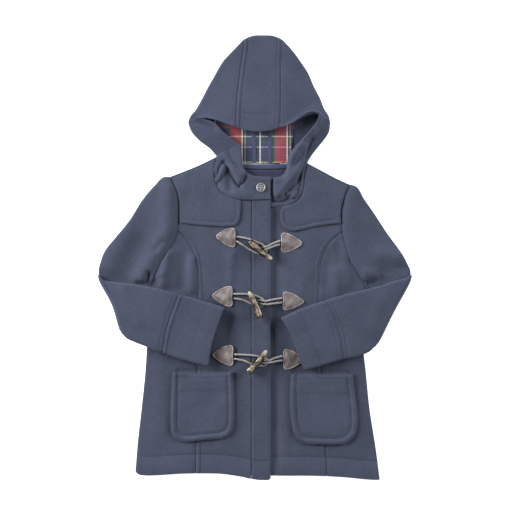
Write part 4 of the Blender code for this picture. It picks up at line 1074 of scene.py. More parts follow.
def sleeve_ease(table, seed):
    """Swell, seam valleys, the cuff seam's dent, and folds: the table's last one is the forearm's.

    The others are the upper arm's, which lies below 12.5 mm: rise((12.5 - z) / 3) is their share.
    """
    def ease(points, edge, normal):
        """The sum of these heights, where the cloth faces up."""
        upper = rise((12.5 - points[..., 2]) / 3)
        folded = folds(points[..., :2], table[:-1]) * upper + folds(points[..., :2], table[-1:]) * (1 - upper)
        high = swell(points, 0.4, 60, seed) + folded * rise((edge["start"] + 2) / 12)
        high = high + valley(edge["start"]) + valley(edge["end"])
        high = high + dent(edge["end"], CUFF_STITCH)
        return high * facing_up(normal)
    return ease


def cut_ends(points, first, last):
    """Each column again with the same number of rows, this much shorter at its two ends."""
    return turn(cut(turn(points), first, last))


# %% Sleeves
def make_sleeve(name, side, laps, table, seed):
    """Rings of a tube down the upper arm, half a turn of them round the crease, and back along the forearm.

    Round the crease the rings move out by (FOLD_RADIUS - z) * sin(angle) and up to 2 * FOLD_RADIUS - z.
    """
    crease_a, crease_b = np.array(side["sleeve_outer"][-1], float), np.array(side["sleeve_inner"][-1], float)
    crease = line(side["crease"])
    v = np.linspace(0, 1, 90)
    tuck = [-SLEEVE_TUCK * np.sign(side["armhole_upper"][0][0]), 0]
    armhole = line(side["armhole_upper"] + np.array(tuck), side["sleeve_head"] + np.array(tuck),
                   shares=(0.65, 0.35))
    closer = 5.2 * (1 - rise((v - 0.54) / 0.14))  # beside the armhole, to meet the body
    plan, tall = tube(v, line(side["sleeve_outer"]), line(side["sleeve_inner"]), armhole, crease, closer)
    reach = rise(v[:, None] * 200.0 / CAP_REACH)
    top = front_height(plan, laps) * (1 - reach) + FRONT_MID * reach
    rings = [deep(plan, BACK_MID + (top - BACK_MID) * tall)]
    plan, tall = plan[-1:], tall[-1:]
    along = (crease_b - crease_a) / np.linalg.norm(crease_b - crease_a)
    way = np.array([along[1], -along[0]])
    way *= np.sign(way @ (crease_a - np.array(side["armhole_lower"][-1], float)))
    flat = BACK_MID + (FRONT_MID - BACK_MID) * tall
    bulge = 0.25 + 0.75 * np.sin(math.pi * RING[:, 0]) ** 0.5
    for angle in np.radians(np.arange(12, 180, 12)):
        out = (FOLD_RADIUS - flat) * math.sin(angle) * bulge
        rings.append(deep(plan + out[..., None] * way, FOLD_RADIUS - (FOLD_RADIUS - flat) * math.cos(angle)))
    v = np.linspace(0, 1, 60)
    plan, tall = tube(v, line(side["forearm_upper"]), line(side["forearm_lower"]), crease,
                      line(side["cuff_seam"]))
    flat = BACK_MID + (FRONT_MID - BACK_MID) * tall
    rings.append(deep(plan, 2 * FOLD_RADIUS - flat + CUFF_LIFT * rise(v[:, None]) * 0.75))
    points = np.concatenate(rings)
    points = turn(spaced(turn(cut_ends(points, 0.15, SEAM_GAP / 2)), marks(), marks(CUFF_STITCH), 150))
    piece = cloth(name, [name], points, WOOL, melton, ring=True, up=(20, 18),
                  ease=sleeve_ease(table, seed),
                  least=ON_BACK)
    sew_along(piece, "end", CUFF_STITCH)


# Height, half width and line of each sleeve's folds, with the forearm's last
SLEEVE_RIGHT = [
    (7.0, 15, (-150, 118), (-149, 80), (-153, 45), (-170, 12), (-188, -18), (-198, -36)),
    (-2.6, 20, (-194, 86), (-200, 30), (-212, -10)), (5.0, 20, (-222, 42), (-244, 10), (-250, -14)),
    (-3.0, 15, (-264, -34), (-240, -42), (-208, -47)), (-8.0, 5, (-185, -30), (-189, -48)),
    (-9.0, 6, (-200, -48), (-180, -51)), (-3.0, 5, (-160, 28), (-172, 14)),
    (2.5, 14, (-230, -60), (-200, -110)),
]
SLEEVE_LEFT = [
    (3.5, 14, (170, 110), (165, 70), (172, 30), (190, 0), (206, -24)),
    (-2.6, 18, (200, 80), (216, 30), (228, 0)), (4.5, 13, (222, 4), (250, 2)),
    (-6.0, 14, (262, -28), (226, -34)), (-14.0, 6, (190, -52), (220, -50)),
    (5.0, 7, (196, -28), (214, -31)), (2.5, 14, (225, -70), (205, -120)),
]
make_sleeve("sleeve_right", RIGHT, True, SLEEVE_RIGHT, 11)
make_sleeve("sleeve_left", LEFT, False, SLEEVE_LEFT, 12)


# %% Cuffs
def make_cuff(name, side, table, seed):
    """One more tube on top of the folded arm, from the cuff's seam to its end, rising to CUFF_LIFT."""
    v = np.linspace(0, 1, 50)
    plan, tall = tube(v, line(side["cuff_upper"]), line(side["cuff_lower"]), line(side["cuff_seam"]),
                      line(side["cuff_end"]))
    flat = BACK_MID + (FRONT_MID - BACK_MID) * tall
    points = deep(plan, 2 * FOLD_RADIUS - flat + CUFF_LIFT * (0.75 + 0.25 * rise(v[:, None])))
    points = turn(spaced(turn(cut_ends(points, SEAM_GAP / 2, 0)), marks(CUFF_STITCH), marks(CUFF_TURN), 34))

    def ease(points, edge, normal):
        """Swell, folds, the seam's relief, and 0.6 mm more thickness where the end is turned in."""
        seam, end = edge["start"], edge["end"]
        return (swell(points, 0.35, 50, seed) + valley(seam) + dent(seam, CUFF_STITCH)
                + seam_swell(seam, CUFF_STITCH) + dent(end, CUFF_TURN, 0.7, 1.4)
                + 0.6 * (1 - rise((end - CUFF_TURN) / 3)) + folds(points[..., :2], table)) * facing_up(normal)

    piece = cloth(name, [name], points, WOOL, melton, ring=True, up=(20, 58), ease=ease)
    sew_along(piece, "start", CUFF_STITCH)
    sew_along(piece, "end", CUFF_TURN)


make_cuff("cuff_right", RIGHT, [(-0.7, 9, (-120, -100), (-90, -140))], 13)
make_cuff("cuff_left", LEFT, [(-0.7, 9, (110, -110), (80, -140))], 14)


# %% [markdown]
# ## Pieces laid on the front
# Yokes, pockets and leather patches are cut to an outline and stitched down all round. For these a
# rows-and-columns grid would leave steps along the curved sides, so the points sit on rings that
# step in from the outline towards a middle, each at one true distance from the edge.

# %% Rings inside an outline
def ringed(outline, middle, insets, spokes=None):
    """Rings at these distances in from a closed outline, found on the way from each point to the middle.

    Seven times, each share of that way is changed by how far its point still is from the wanted distance.
    """
    fine = np.array([*outline, outline[0]], float)
    fine = smooth(fine, 10) if spokes is None else fine
    along = measured(fine)
    count = spokes or max(60, round(along[-1] / 2.2))
    rim = read_at(fine, along, np.linspace(0, along[-1], count, endpoint=False))
    closed = np.concatenate([rim, rim[:1]])
    middle = np.asarray(middle, float)
    long = np.linalg.norm(middle - rim, axis=1)[None]
    want = np.asarray(insets, float)[:, None]
    share = want / long
    for _ in range(7):
        plan = rim[None] + (middle - rim)[None] * share[..., None]
        share = np.clip(share + (want - distance(plan, closed)) / long, 0, 0.97)
    plan = rim[None] + (middle - rim)[None] * share[..., None]
    reach = float(distance(middle[None], closed)[0])
    tail = np.linspace(0, 1, max(4, round((reach - insets[-1]) / 3)) + 1)[1:, None, None]
    plan = np.concatenate([plan, plan[-1:] * (1 - tail) + middle * tail])
    return plan, distance(plan, closed)


def laid(name, node, plan, inset, height, thick, finish, lines=(), kind="wool", relief=None,
         pitch=STITCH):
    """A piece from rings: faces at height + and - half its thickness, and the last ring closed to a point."""
    full = np.interp(inset, EDGE_IN, EDGE_FULL)
    full[0] = 0
    bumps = relief(plan, inset) if relief else 0
    top = deep(plan, height + full * thick / 2 + bumps * np.minimum(full * 1.5, 1))
    low = deep(plan, height - full * thick / 2)
    top[0, :, 2] = low[0, :, 2] = height[0]
    faces = two_faces(full, ring=True)
    if np.cross(plan[0, 5] - plan[0, 0], plan[3, 0] - plan[0, 0]) < 0:
        faces = faces[:, ::-1]
    kept = {"inset": np.stack([inset, inset])}
    obj = make(name, np.stack([top, low]), faces, finish, weld=True, marks_on=kept)
    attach(obj, "root")
    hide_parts(node)
    normal = normals(top, ring=True)
    normal *= np.sign(normal[3, 0, 2])
    for at, first, last in lines:
        k = int(np.argmin(np.abs(inset.mean(axis=1) - at)))
        route = np.concatenate([top[k], top[k, :1]])
        side = np.concatenate([normal[k], normal[k, :1]])
        a, b = round(first * len(route)), round(last * len(route))
        sew(route[a:b], side[a:b], kind, pitch)


def rings_at(*lines):
    """Distances from the outline that round its edge off and give each of these stitch lines five rings."""
    return np.array(sorted([*EDGE_IN, *[at + step for at in lines for step in (-1.6, -0.8, 0, 0.8, 1.6)]]))


print(f"an edge takes {len(rings_at())} rings, and a stitch line {len(rings_at(5)) - len(rings_at())} more")


# %% Yokes
YOKE_STITCH = 7.0


def make_yoke(name, side, laps, middle, seed, extra):
    """Rings inside the outline: a stitched swell on its two free sides and a valley on its sewn ones."""
    runs = [side["yoke_lower"], side["yoke_inner"], side["yoke_neck"], side["yoke_shoulder"][::-1],
            side["yoke_armhole"][::-1]]
    rim = np.concatenate([smooth(run)[:-1] for run in runs])
    plan, inset = ringed(rim, middle, rings_at(2.2 + 0.6, YOKE_STITCH), spokes=230)
    height = front_height(plan, laps) + WOOL / 2 + LAY_GAP + YOKE / 2

    def relief(plan, inset):
        """The two kinds of edge, blended by how much nearer the free one is, plus swell and folds."""
        sewn = [distance(plan, side[f"yoke_{edge}"]) for edge in ("neck", "shoulder", "armhole")]
        joined = np.min(sewn, axis=0)
        free = rise((joined - inset - 1) / 5)
        ridge = seam_swell(inset, YOKE_STITCH, 0.65) + dent(inset, YOKE_STITCH, 0.6)
        return swell(plan, 0.3, 60, seed) + ridge * free + valley(inset) * (1 - free) + folds(plan, extra)

    laid(name, name, plan, inset, height, YOKE, melton, [(YOKE_STITCH, 0, 0.42)], relief=relief)


make_yoke("yoke_right", RIGHT, True, (-95, 104), 21,
          [(-0.9, 7, (-110, 140), (-118, 96)), (0.7, 9, (-84, 120), (-96, 80))])
make_yoke("yoke_left", LEFT, False, (112, 102), 22,
          [(-1.0, 6, (131, 108), (146, 84)), (0.9, 6, (140, 116), (156, 92)),
           (-0.8, 8, (104, 130), (112, 90))])

# %% Pockets
MOUTH_STITCH, POCKET_STITCH = 34.0, 9.7  # mm from the mouth and from the other sides


def make_pocket(name, side, laps, seed):
    """A patch pocket: its border swells inside a groove 10 mm in, and its mouth stands off the front."""
    first, low, last, *round_ = np.array(side["pocket"], float)
    rim = np.concatenate([smooth([first, low, last])[:-1], smooth([last, *round_, first])[:-1]])
    middle = (first + last) / 2 * [1, 0] + [0, -262]
    plan, inset = ringed(rim, middle, rings_at(2.6, 9.5), spokes=260)
    height = front_height(plan, laps) + WOOL + LAY_GAP + 0.7
    mouth = first[1]

    def relief(plan, inset):
        """Bells over the distance from the sewn sides and the mouth, the turned-in edge, and swell."""
        facing = mouth - plan[..., 1]
        sewn = distance(plan, [last, *round_, first])
        border = 1.5 * np.exp(-((sewn - 5.0) / 3.1) ** 2) - 1.4 * np.exp(-((sewn - 10.2) / 2.2) ** 2)
        gape = 1.6 * np.exp(-(facing / 9) ** 2) * rise((inset - 1) / 4)
        return (border + gape + swell(plan, 0.35, 45, seed)
                + dent(facing, MOUTH_STITCH, 0.8, 1.5) * rise((inset - 10) / 4)
                + 0.7 * (1 - rise((facing - MOUTH_STITCH) / 3)) * rise((inset - 8) / 4))

    laid(name, name, plan, inset, height, WOOL, melton, [(POCKET_STITCH, 0.27, 1)], relief=relief)


make_pocket("pocket_right", RIGHT, True, 23)
make_pocket("pocket_left", LEFT, False, 24)

# %% [markdown]
# ## Hood
# The hood has a centre panel over the crown and two side panels. Laid flat, each folds round its
# outline to a second layer underneath, and the front edges fall open over the lining. A row of a
# side panel runs from the open edge out to the fold and back under to the nape.

# %% The hood's centre panel
HOOD_STITCH, RIM_STITCH = 7.0, 30.0  # mm from the hood's seams and from its face edge
HALF_TURN = np.radians(np.arange(18, 181, 18))  # the steps round a fold


def hood_top(y):
    """FRONT_MID at the crown, rising by rise(t)^1.2 to RIM_MID at the rim."""
    return FRONT_MID + (RIM_MID - FRONT_MID) * rise((372 - y) / (372 - 224)) ** 1.2


def make_hood_center():
    """A patch from the rim up to the crown, half a turn of CROWN_RADIUS, and a flat patch to the nape."""
    v = np.linspace(0, 1, 90)
    ends = ((RIGHT, CROWN[0]), (LEFT, CROWN[-1]))
    seams = [line(side["hood_seam"][::-1] + [crown]) for side, crown in ends]
    plan = coons(np.linspace(0, 1, 40)[None], v[:, None], *seams, line(RIM_CENTRE), line(CROWN))
    top = turn(cut(turn(deep(plan, hood_top(plan[..., 1]))), 0, CROWN_RADIUS + WOOL / 2))
    way = unit(plan[-1] - plan[-2])
    rows = [top]
    for angle in HALF_TURN:
        out = top[-1, :, :2] + way * CROWN_RADIUS * math.sin(angle)
        rows.append(deep(out, BACK_MID + CROWN_RADIUS * (1 + math.cos(angle)))[None])
    seams = [line(side["hood_nape_seam"]) for side in (RIGHT, LEFT)]
    under = coons(np.linspace(0, 1, 40)[None], np.linspace(0, 1, 40)[2:, None], *seams,
                  line([(-18, 371), (49, 371)]), line(NAPE))
    rows.append(deep(under, BACK_MID))
    points = turn(cut(turn(cut(np.concatenate(rows), 0.2, 0.2)), 0, SEAM_GAP))
    points = across(points, 2.8, first=(HOOD_STITCH,), last=(HOOD_STITCH,), start=(RIM_STITCH,))

    def ease(points, edge, normal):
        """Swell, the relief of the nearer seam, and the rim's thick turned-in edge, where it faces up."""
        d = np.minimum(edge["first"], edge["last"])
        hem = edge["start"]
        return (swell(points, 0.4, 70, 31) + dent(d, HOOD_STITCH, 0.7) + seam_swell(d, HOOD_STITCH)
                + valley(d) + 1.2 * np.exp(-((hem - 4) / 5) ** 2)
                + dent(hem, RIM_STITCH, 0.7) * rise((d - 8) / 3)) * facing_up(normal)

    piece = cloth("hood_center", ["hood_center"], points, WOOL, melton, ease=ease, up=(20, 10))
    for side in ("first", "last"):
        sew_along(piece, side, HOOD_STITCH, (0.02, 0.5))
    sew_along(piece, "start", RIM_STITCH, (0.2, 0.8))


make_hood_center()

# %% Rows of a hood side panel
# Each stretch of a side panel's outline: its share of the way along, and how many rows it starts with
HOOD_RUNS = [("top", 7, 60), ("corner", 4, 30), ("cheek", 5, 34), ("neck", 8, 60), ("lap", 2, 16)]
TOP_COLUMNS = 40


def hood_rows(side, laps):
    """A row for each share of the outline: straight to the fold, half round it, and back under to the nape.

    Along the upper part the height falls from the open edge's to the fold's by 0.4 * rise(u) + 0.6 * u.
    Past the cheek the hood lies on the front, and a row only turns in by 6 mm at the collar seam.
    Also gives the rows' shares and the share where the panel's seam with the centre ends.
    """
    runs = HOOD_RUNS[:5 if side["hood_lap"] else 4]
    total = sum(coarse for _, coarse, _ in runs)
    at = np.r_[0, np.cumsum([coarse / total for _, coarse, _ in runs])]
    steps = zip(at[:-1], at[1:], runs)
    s = np.concatenate([np.linspace(a, b, fine, endpoint=False) for a, b, (_, _, fine) in steps] + [[1.0]])
    shares = np.diff(at)
    inner = line(side["hood_seam"], side["hood_rim"], side["hood_front"], side["hood_throat"],
                 shares=[*shares[:3], shares[3:].sum()])(s)
    outlines = [side["hood_outline"], side["hood_corner"], side["hood_cheek"], side["neckline"]]
    outer = line(*outlines, *([side["hood_lap"]] if side["hood_lap"] else []), shares=shares)(s)
    edge, fold = side["hood_edge"], side["hood_fold"]
    folded = s < at[3]
    radius = np.interp(s, [0, at[1], at[2], (at[2] + at[3]) / 2, at[3], at[3] + 0.02],
                       [CROWN_RADIUS, fold["outline"], fold["corner"], fold["cheek"], NECK_RADIUS, 0.3])
    inner_height = np.interp(s, [at[1], at[2], at[3], (at[3] + 1) / 2, 1],
                             [edge["rim"], edge["corner"], edge["front"], edge["throat"], edge["throat"]])
    inner_height = np.where(s < at[1], hood_top(inner[:, 1]), inner_height)
    way = unit(outer - inner)
    foot = outer - way * np.where(folded, radius + WOOL / 2, 0.45 + radius)[:, None]
    foot_height = np.where(folded, BACK_MID + 2 * radius, front_height(outer, laps) + YOKE)
    u = np.linspace(0, 1, TOP_COLUMNS)
    plan = inner[:, None] * (1 - u)[None, :, None] + foot[:, None] * u[None, :, None]
    drop = rise(u) * 0.4 + u * 0.6
    top = deep(plan, inner_height[:, None] * (1 - drop) + foot_height[:, None] * drop)
    arc = deep(foot[:, None] + way[:, None] * (radius[:, None] * np.sin(HALF_TURN))[..., None],
               (foot_height - radius)[:, None] + radius[:, None] * np.cos(HALF_TURN))
    nape = line(side["hood_nape_seam"])(np.minimum(s / at[3], 1))
    nape = np.where(folded[:, None], nape, foot - way * 6)
    k = np.linspace(0, 1, 14)[1:, None]
    low = deep(foot[:, None] * (1 - k) + nape[:, None] * k, (foot_height - 2 * radius)[:, None])
    return np.concatenate([cut(top, 0.2), arc, cut(low, 0, SEAM_GAP)], axis=1), s, at[1]


print(f"{sum(fine for _, _, fine in HOOD_RUNS) + 1} rows at first on the side with the lap")


# %% The hood's side panels
def hood_grid(points, s):
    """The rows set again along the panel's middle, and the columns above, round and under the fold in turn.

    A row keeps its own direction, so the columns stay in line where the cheek meets the neck.
    """
    middle = TOP_COLUMNS // 2
    far = lengths(turn(points[:, middle:middle + 1]))[0]
    rows = np.concatenate([marks(), np.linspace(1.5, far[-1] - 1.5, 238)[1:-1], far[-1] - marks()[::-1]])
    rows = np.interp(rows, far, np.arange(len(far)))
    below = np.minimum(rows.astype(int), len(far) - 2)
    part = (rows - below)[:, None, None]
    points = points[below] * (1 - part) + points[below + 1] * part
    row = np.interp(rows, np.arange(len(s)), s)[:, None]
    under = TOP_COLUMNS + len(HALF_TURN)
    edge_only = np.zeros(1)
    return np.concatenate([spaced(points[:, :TOP_COLUMNS], marks(HOOD_STITCH), edge_only, 72),
                           points[:, TOP_COLUMNS:under],
                           spaced(points[:, under:], edge_only, marks(), 18)], axis=1), row


def make_hood_side(name, side, laps, seed, extra=(), flaps=()):
    """The side panel from its rows, with relief beside its seam and a thick edge along its open side."""
    points, s, seam_to = hood_rows(side, laps)
    points, row = hood_grid(points, s)

    def ease(points, edge, normal):
        """The sum of these heights where the cloth faces up. Flaps rise over 5 mm from the far edges."""
        seam = rise((seam_to - 0.004 - row) / 0.01)
        d, far = edge["first"], np.minimum(edge["last"], edge["end"])
        plan = points[..., :2]
        return (swell(points, 0.4, 70, seed) + (valley(d) + dent(d, HOOD_STITCH, 0.3)) * seam
                + 1.2 * np.exp(-((d - 4) / 5) ** 2) * (1 - seam) + folds(plan, extra)
                + lobes(plan, flaps) * rise(far / 5)) * facing_up(normal, 0.15)

    cloth(name, [name], points, WOOL, melton, ease=ease, up=(20, 8))


# Folds of the hood and of its band where it gathers at the throat: height, half width and line
HOOD_RIGHT_FOLDS = [
    (-5.0, 4.0, (-52, 166), (-46, 156), (-39, 144), (-32, 132), (-27, 124)),
    (-4.0, 3.5, (-15, 141), (-19, 132), (-25, 124)), (-4.0, 6.0, (-49, 152), (-44, 136), (-42, 120)),
    (2.8, 3.5, (-51, 158), (-57, 148), (-62, 136)), (-3.6, 3.0, (-56, 166), (-62, 154), (-66, 142)),
    (-3.0, 3.0, (-49, 149), (-58, 138), (-63, 129)),
    (-2.5, 4.0, (-44, 184), (-39, 174), (-33, 165), (-20, 156)),
    (2.6, 9.0, (-52, 117), (-36, 110), (-12, 110)), (-3.0, 7.0, (-102, 239), (-84, 234), (-70, 227)),
]
# Gathered flaps of the band: height, width of the slope at the edge, and outline
HOOD_RIGHT_FLAPS = [
    (3.2, 6.0, (-47, 166), (-38, 164), (-24, 155), (-13, 146), (-16, 136), (-24, 127), (-31, 136),
     (-40, 151)),
]
HOOD_LEFT_FOLDS = [
    (-3.6, 5.0, (100, 206), (90, 190), (80, 174), (72, 162)),
    (2.6, 5.0, (104, 224), (90, 208), (78, 192), (68, 178)),
    (-3.6, 3.6, (88, 154), (82, 142), (74, 130), (64, 121), (55, 111)),
    (-3.2, 5.0, (82, 140), (80, 125), (77, 108)), (-4.5, 4.0, (30, 98), (42, 94), (54, 98), (62, 106)),
    (3.2, 3.5, (58, 112), (67, 106), (74, 112)), (-2.4, 3.0, (62, 97), (74, 103)),
    (-1.6, 4.0, (31, 139), (32, 104)), (2.4, 8, (46, 114), (58, 130), (70, 148)),
]
HOOD_LEFT_FLAPS = [
    (4.5, 6.0, (98, 200), (90, 174), (84, 155), (75, 140), (64, 129), (56, 118), (49, 108), (40, 102),
     (34, 108), (32, 124), (34, 138), (52, 143), (60, 171), (70, 190), (86, 203)),
]
make_hood_side("hood_side_right", RIGHT, True, 32, HOOD_RIGHT_FOLDS, HOOD_RIGHT_FLAPS)
make_hood_side("hood_side_left", LEFT, False, 33, HOOD_LEFT_FOLDS, HOOD_LEFT_FLAPS)


# %% [markdown]
# Inside the hood lie the tartan lining, a strip of tape over the neck seam, the facing at the back of
# the neck and two lining tapes. They lie flat and only their middles show, so each is a patch
# straight from a lower line to an upper one.

# %% What shows inside the hood
def make_flat(name, lower, upper, mid, thick, finish, ease=None, nodes=True):
    """A layer at one height: (1 - v) * lower line + v * upper line."""
    u, v = np.meshgrid(np.linspace(0, 1, 60), np.linspace(0, 1, 30))
    plan = line(lower)(u) * (1 - v)[..., None] + line(upper)(u) * v[..., None]
    cloth(name, [name] if nodes else [], across(deep(plan, mid), 2.4), thick, finish, ease=ease)


make_flat("hood_lining", LINING_EDGES["lower"], LINING_EDGES["upper"], LINING_MID, LINING, plaid,
          ease=lambda points, edge, normal: swell(points, 0.35, 26, 41) + 0.35)
make_flat("neck_strip", NECK_STRIP["lower"], NECK_STRIP["upper"], LINING_MID + 0.4, 1.8, tape_cloth,
          ease=lambda points, edge, normal: 0.5 * np.sin(math.pi * np.clip(edge["start"] / 7.5, 0, 1)))
make_flat("back_neck_facing", FACING["lower"], FACING["upper"], LINING_MID, LINING, facing_cloth,
          ease=lambda points, edge, normal: swell(points, 0.2, 30, 42))
for number, x in enumerate((0.0, 28.0), 1):  # x of the middle of each tape
    make_flat(f"lining_tape_{number}", [(x - 3.5, 166), (x + 3.5, 166)], [(x - 3.2, 236), (x + 3.2, 236)],
              LINING_MID + 1.0, 1.0, tape_cloth, nodes=False)

# %% [markdown]
# ## Fastenings
# Each of the three fastenings is a loop on the wearer's right and a toggle held by a cord on the
# left. The cords end under a leather patch, which bulges over them. A patch is rings inside a
# rounded triangle, like the yokes, and only its hump and its pale cut edge set it apart.

# %% Patches
PATCH_STITCH = 2.4  # mm from the cut edge, and from one stitch to the next
# A patch's half outline: share of its length from base to tip, and share of its half height
PATCH_OUTLINE = [(0.03, 0.0), (0.01, 0.4), (0.01, 0.72), (0.05, 0.92), (0.14, 1.0), (0.26, 0.97),
                 (0.42, 0.86), (0.6, 0.68), (0.78, 0.46), (0.9, 0.29), (0.975, 0.14), (1.0, 0.0)]


def make_patch(name, base, laps):
    """PATCH_OUTLINE mirrored about the line from base to tip, over a hump 3 mm high where the cords end."""
    x, y, tall, tip = base
    half = np.array(PATCH_OUTLINE) * [1, tall / 2]
    half = np.concatenate([half, half[-2:0:-1] * [1, -1]])
    way = np.array([tip[0] - x, tip[1] - y], float)
    rim = np.array([x, y]) + half[:, :1] * way + half[:, 1:] * [0, 1]
    plan, inset = ringed(rim, np.array([x, y]) + way * 0.42, rings_at(PATCH_STITCH))
    height = front_height(plan, laps) + WOOL / 2 + LAY_GAP + LEATHER / 2

    def relief(plan, inset):
        """The hump, a crown of 1.1 mm in the middle, the stitches' dent, a ridge outside it, and swell."""
        near = np.abs(plan[..., 0] - x)
        hump = 3.0 * np.exp(-((plan[..., 1] - y) / 6.5) ** 2) * (1 - rise((near - 2) / 20))
        crown = 1.1 * rise((inset - 1.5) / 8)
        ridge = 0.4 * np.exp(-((inset - 1.1) / 0.8) ** 2)
        return hump + crown + dent(inset, PATCH_STITCH, 0.5, 0.7) + ridge + swell(plan, 0.4, 14, 51)

    laid(name, name, plan, inset, height, LEATHER, leather, [(PATCH_STITCH, 0, 1)], "leather",
         relief, PATCH_STITCH)


print(f"a patch's outline has {2 * len(PATCH_OUTLINE) - 2} points")

# %% [markdown]
# The cords are waxed braid 3.6 mm thick, and each is one ring carried along its route. A curve with a
# bevel would give the same tube, but these rings also keep how far along and how far round each point
# is, which the braid's pattern needs. A loop lies on the front. A hold starts on the left front and
# climbs over the loop's strands, and its tip lies low under the toggle.

# %% Cords
CORD_RINGS = 150


def carried(name, node, route, radius, around, finish):
    """Rings of a radius for each point of a route, square to it: side * cos + over * sin."""
    way = unit(np.gradient(route, axis=0))
    side = unit(np.cross(way, [0, 0, 1.0]))
    over = np.cross(side, way)
    turns = np.arange(around) * 2 * math.pi / around
    rings = route[:, None] + radius[:, None, None] * (side[:, None] * np.cos(turns)[None, :, None]
                                                      + over[:, None] * np.sin(turns)[None, :, None])
    index = all_round(np.arange(rings.shape[0] * around).reshape(-1, around))
    far = measured(route)
    kept = {"along": np.repeat(far, around), "around": np.tile(turns / (2 * math.pi), len(route))}
    obj = make(name, rings, quads(index)[:, ::-1], finish, weld=True, marks_on=kept)
    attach(obj, "root")
    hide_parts(node)
    print(f"{name}: {far[-1]:.0f} mm long")
    return obj


def cord_floor(plan, laps):
    """Height of a cord's middle on the front: half the wool, 0.4 mm and half the cord above its middle."""
    return front_height(plan, laps) + WOOL / 2 + 0.4 + CORD / 2


def make_cord(name, route):
    """Evenly spaced rings along a route, narrowed to 0.02, 0.8 and 1 of the radius at both ends."""
    along = measured(route)
    route = read_at(route, along, np.linspace(0, along[-1], CORD_RINGS))
    ends = np.minimum(np.arange(CORD_RINGS), np.arange(CORD_RINGS)[::-1])
    radius = CORD / 2 * np.interp(ends, [0, 1, 2], [0.02, 0.8, 1])
    obj = carried(name, name, route, radius, 12, cord_finish)


def make_loop(number, closure):
    """A cord on the lapped front along the loop's points."""
    loop = np.array(closure["loop"], float)
    make_cord(f"loop_{number}", smooth(deep(loop, cord_floor(loop, True))))


def make_hold(number, closure):
    """A cord whose height goes by x: low at its tip, one cord higher over the loop, then down again.

    At the tip, out of sight under the toggle, it turns back more sharply than a real cord would.
    """
    hold = np.array(closure["hold"], float)
    low = LAP_TOP + 0.4 + CORD / 2
    over, tip, start = low + CORD + 0.4, hold[:, 0].min(), hold[0, 0]
    route = smooth(hold)
    height = np.interp(route[:, 0], [tip, tip + 2.5, tip + 8, 26, 32, start - 3],
                       [low, low, over, over, low + 0.4, cord_floor(hold[0], False) + 0.2])
    make_cord(f"hold_{number}", deep(route, height))


# %% [markdown]
# A toggle is the tip of a horn: it tapers, bends a little and has a shallow waist where the cord
# passes. One profile of radii carried along a bent line gives all of that, as turning does.

# %% Toggles
# Millimetres from a toggle's waist, and its radius there
TOGGLE_AT = [-25, -24.9, -24.5, -23, -18, -10, -5, -2, 0, 2, 5, 10, 16, 21, 24, 25.2, 25.5]
TOGGLE_RADII = [0.05, 4.4, 5.4, 6.1, 6.7, 6.4, 5.8, 5.3, 5.2, 5.4, 5.6, 5.3, 4.6, 3.6, 2.8, 1.6, 0.05]


def make_toggle(number, closure, thin):
    """TOGGLE_RADII carried along a line bent by 1.6 * (distance / 25)^2. thin is 1 or -1, the tip's way."""
    name = f"toggle_{number}"
    far = np.concatenate([np.linspace(-25, -23, 8), np.linspace(-22, 22, 60), np.linspace(22.5, 25.5, 10)])
    angle = math.radians(closure["turn"])
    way = np.array([math.cos(angle), math.sin(angle)]) * thin
    side = np.array([-way[1], way[0]])
    bend = 1.6 * (far / 25) ** 2 - 0.6
    route = deep(np.array(closure["toggle"]) + far[:, None] * way + bend[:, None] * side,
                 LAP_TOP + 0.8 + CORD + TOGGLE_RADIUS)
    carried(name, name, route, np.interp(far, TOGGLE_AT, TOGGLE_RADII), 28, horn)


def make_fastening(number, closure, thin):
    """Both patches, the loop, the cord that holds the toggle, and the toggle."""
    make_patch(f"patch_right_{number}", closure["right"], True)
    make_patch(f"patch_left_{number}", closure["left"], False)
    make_loop(number, closure)
    make_hold(number, closure)
    make_toggle(number, closure, thin)


for number, (closure, thin) in enumerate(zip(CLOSURES, (1, -1, 1)), 1):
    make_fastening(number, closure, thin)


# %% [markdown]
# The snap is a cast cap on the collar's tab, with a raised rim and a small rosette in its dish. It is
# a profile of radius and height turned once round, as a lathe tool would, with eight waves added.

# %% Snap
def make_snap(rings=90, spokes=96):
    """A turned profile with a raised rim, and in its dish a rosette: height + 0.35 * cos(8 * angle)."""
    profile = np.array([(0.02, 2.9), (1.0, 2.9), (1.5, 2.4), (2.0, 2.2), (3.0, 2.5), (4.2, 2.5), (5.0, 2.1),
                        (5.4, 2.1), (6.0, 2.8), (6.8, 3.0), (7.5, 2.7), (7.9, 2.0), (8.0, 1.2), (8.0, 0.4),
                        (7.6, 0.0), (4.0, 0.0), (0.02, 0.0)])
    along = measured(profile)
    r, z = read_at(profile, along, np.linspace(0, along[-1], rings)).T[..., None]
    turns = np.linspace(0, 2 * math.pi, spokes, endpoint=False)[None]
    band = np.exp(-((r - 3.4) / 1.0) ** 2) * (z > 1)
    z = z + 0.35 * np.cos(8 * turns) * band
    points = np.stack([SNAP_AT[0] + r * np.cos(turns), SNAP_AT[1] + r * np.sin(turns), LAP_TOP + 0.6 + z],
                      axis=-1)
    low = np.clip((2.6 - z) / 0.35, 0, 1) * (r < 6.4) * (z > 1)
    index = all_round(np.arange(rings * spokes).reshape(rings, spokes))
    obj = make("snap", points, quads(index)[:, ::-1], zinc, sharp=80, weld=True, marks_on={"low": low})
    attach(obj, "root")
    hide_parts("snap")
    print(f"snap: {2 * profile[:, 0].max():.0f} mm across")


make_snap()

# %% All stitches
leather_thread = woolly("brown waxed thread", ("6f6058", "8a7a70", "a09088"), nap=0.0005, sheen=0.1)
make_thread("topstitching", "wool", thread)
make_thread("patch_stitching", "leather", leather_thread, 0.3, 1.8)


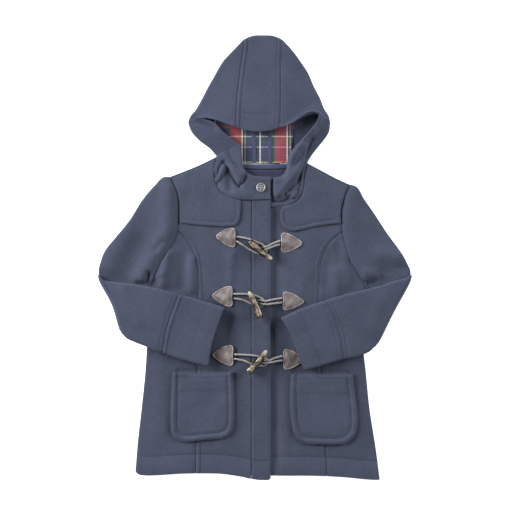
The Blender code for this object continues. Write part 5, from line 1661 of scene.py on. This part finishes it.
# %% [markdown]
# ## Floor, light and camera
# The coat is seen from straight above on a white floor. A broad lamp up and to the left gives the
# folds their soft shade, and a weaker one fills in from the other side. Both stand well off, so that
# the hood isn't lit more than the hem, and low, so that seams and folds show.

# %% Floor, light and camera
def make_floor(reach=4, low=-0.001):
    """A square of paper, reach metres each way and just below 0, that glows a little so it stays white."""
    paper, _, _ = begin("matt white paper", 0.9, Base_Color=linear("f4f4f4"), Specular_IOR_Level=0.1,
                        Emission_Color=linear("ffffff"), Emission_Strength=0.85)
    mesh = bpy.data.meshes.new("floor")
    corners = [(-reach, -reach, low), (reach, -reach, low), (reach, reach, low), (-reach, reach, low)]
    mesh.from_pydata(corners, [], [(0, 1, 2, 3)])
    mesh.materials.append(paper)
    floor = bpy.data.objects.new("floor", mesh)
    bpy.context.scene.collection.objects.link(floor)


def make_lamp(name, place, size, power):
    """A square area lamp aimed at the middle of the coat."""
    data = bpy.data.lights.new(name, "AREA")
    data.size, data.energy = size, power
    lamp = bpy.data.objects.new(name, data)
    lamp.location = place
    lamp.rotation_euler = (-lamp.location).to_track_quat("-Z", "Y").to_euler()
    bpy.context.scene.collection.objects.link(lamp)
    print(f"{name} lamp: {power} W")


def make_camera(high=1.6, wide=0.896, aim=(0.0031, 0.0024), cloth_at=0.008):
    """Straight down, with a lens that shows wide metres at the cloth: 36 * (high - cloth_at) / wide."""
    data = bpy.data.cameras.new("camera")
    data.sensor_width, data.lens = 36, 36 * (high - cloth_at) / wide
    data.clip_start, data.clip_end = 0.05, 20
    camera = bpy.data.objects.new("camera", data)
    camera.location = (*aim, high)
    bpy.context.scene.collection.objects.link(camera)
    bpy.context.scene.camera = camera
    print(f"lens {data.lens:.1f} mm")


make_floor()
make_lamp("key", (-2.8, 1.1, 1.28), 1.8, 212)
make_lamp("fill", (2.8, 1.1, 1.28), 1.8, 108)
world = bpy.data.worlds.new("studio")
world.use_nodes = True
sky = world.node_tree.nodes["Background"].inputs
sky["Color"].default_value = (1, 1, 1, 1)
sky["Strength"].default_value = 0.26
bpy.context.scene.world = world
bpy.context.scene.view_settings.view_transform = "Standard"
make_camera()
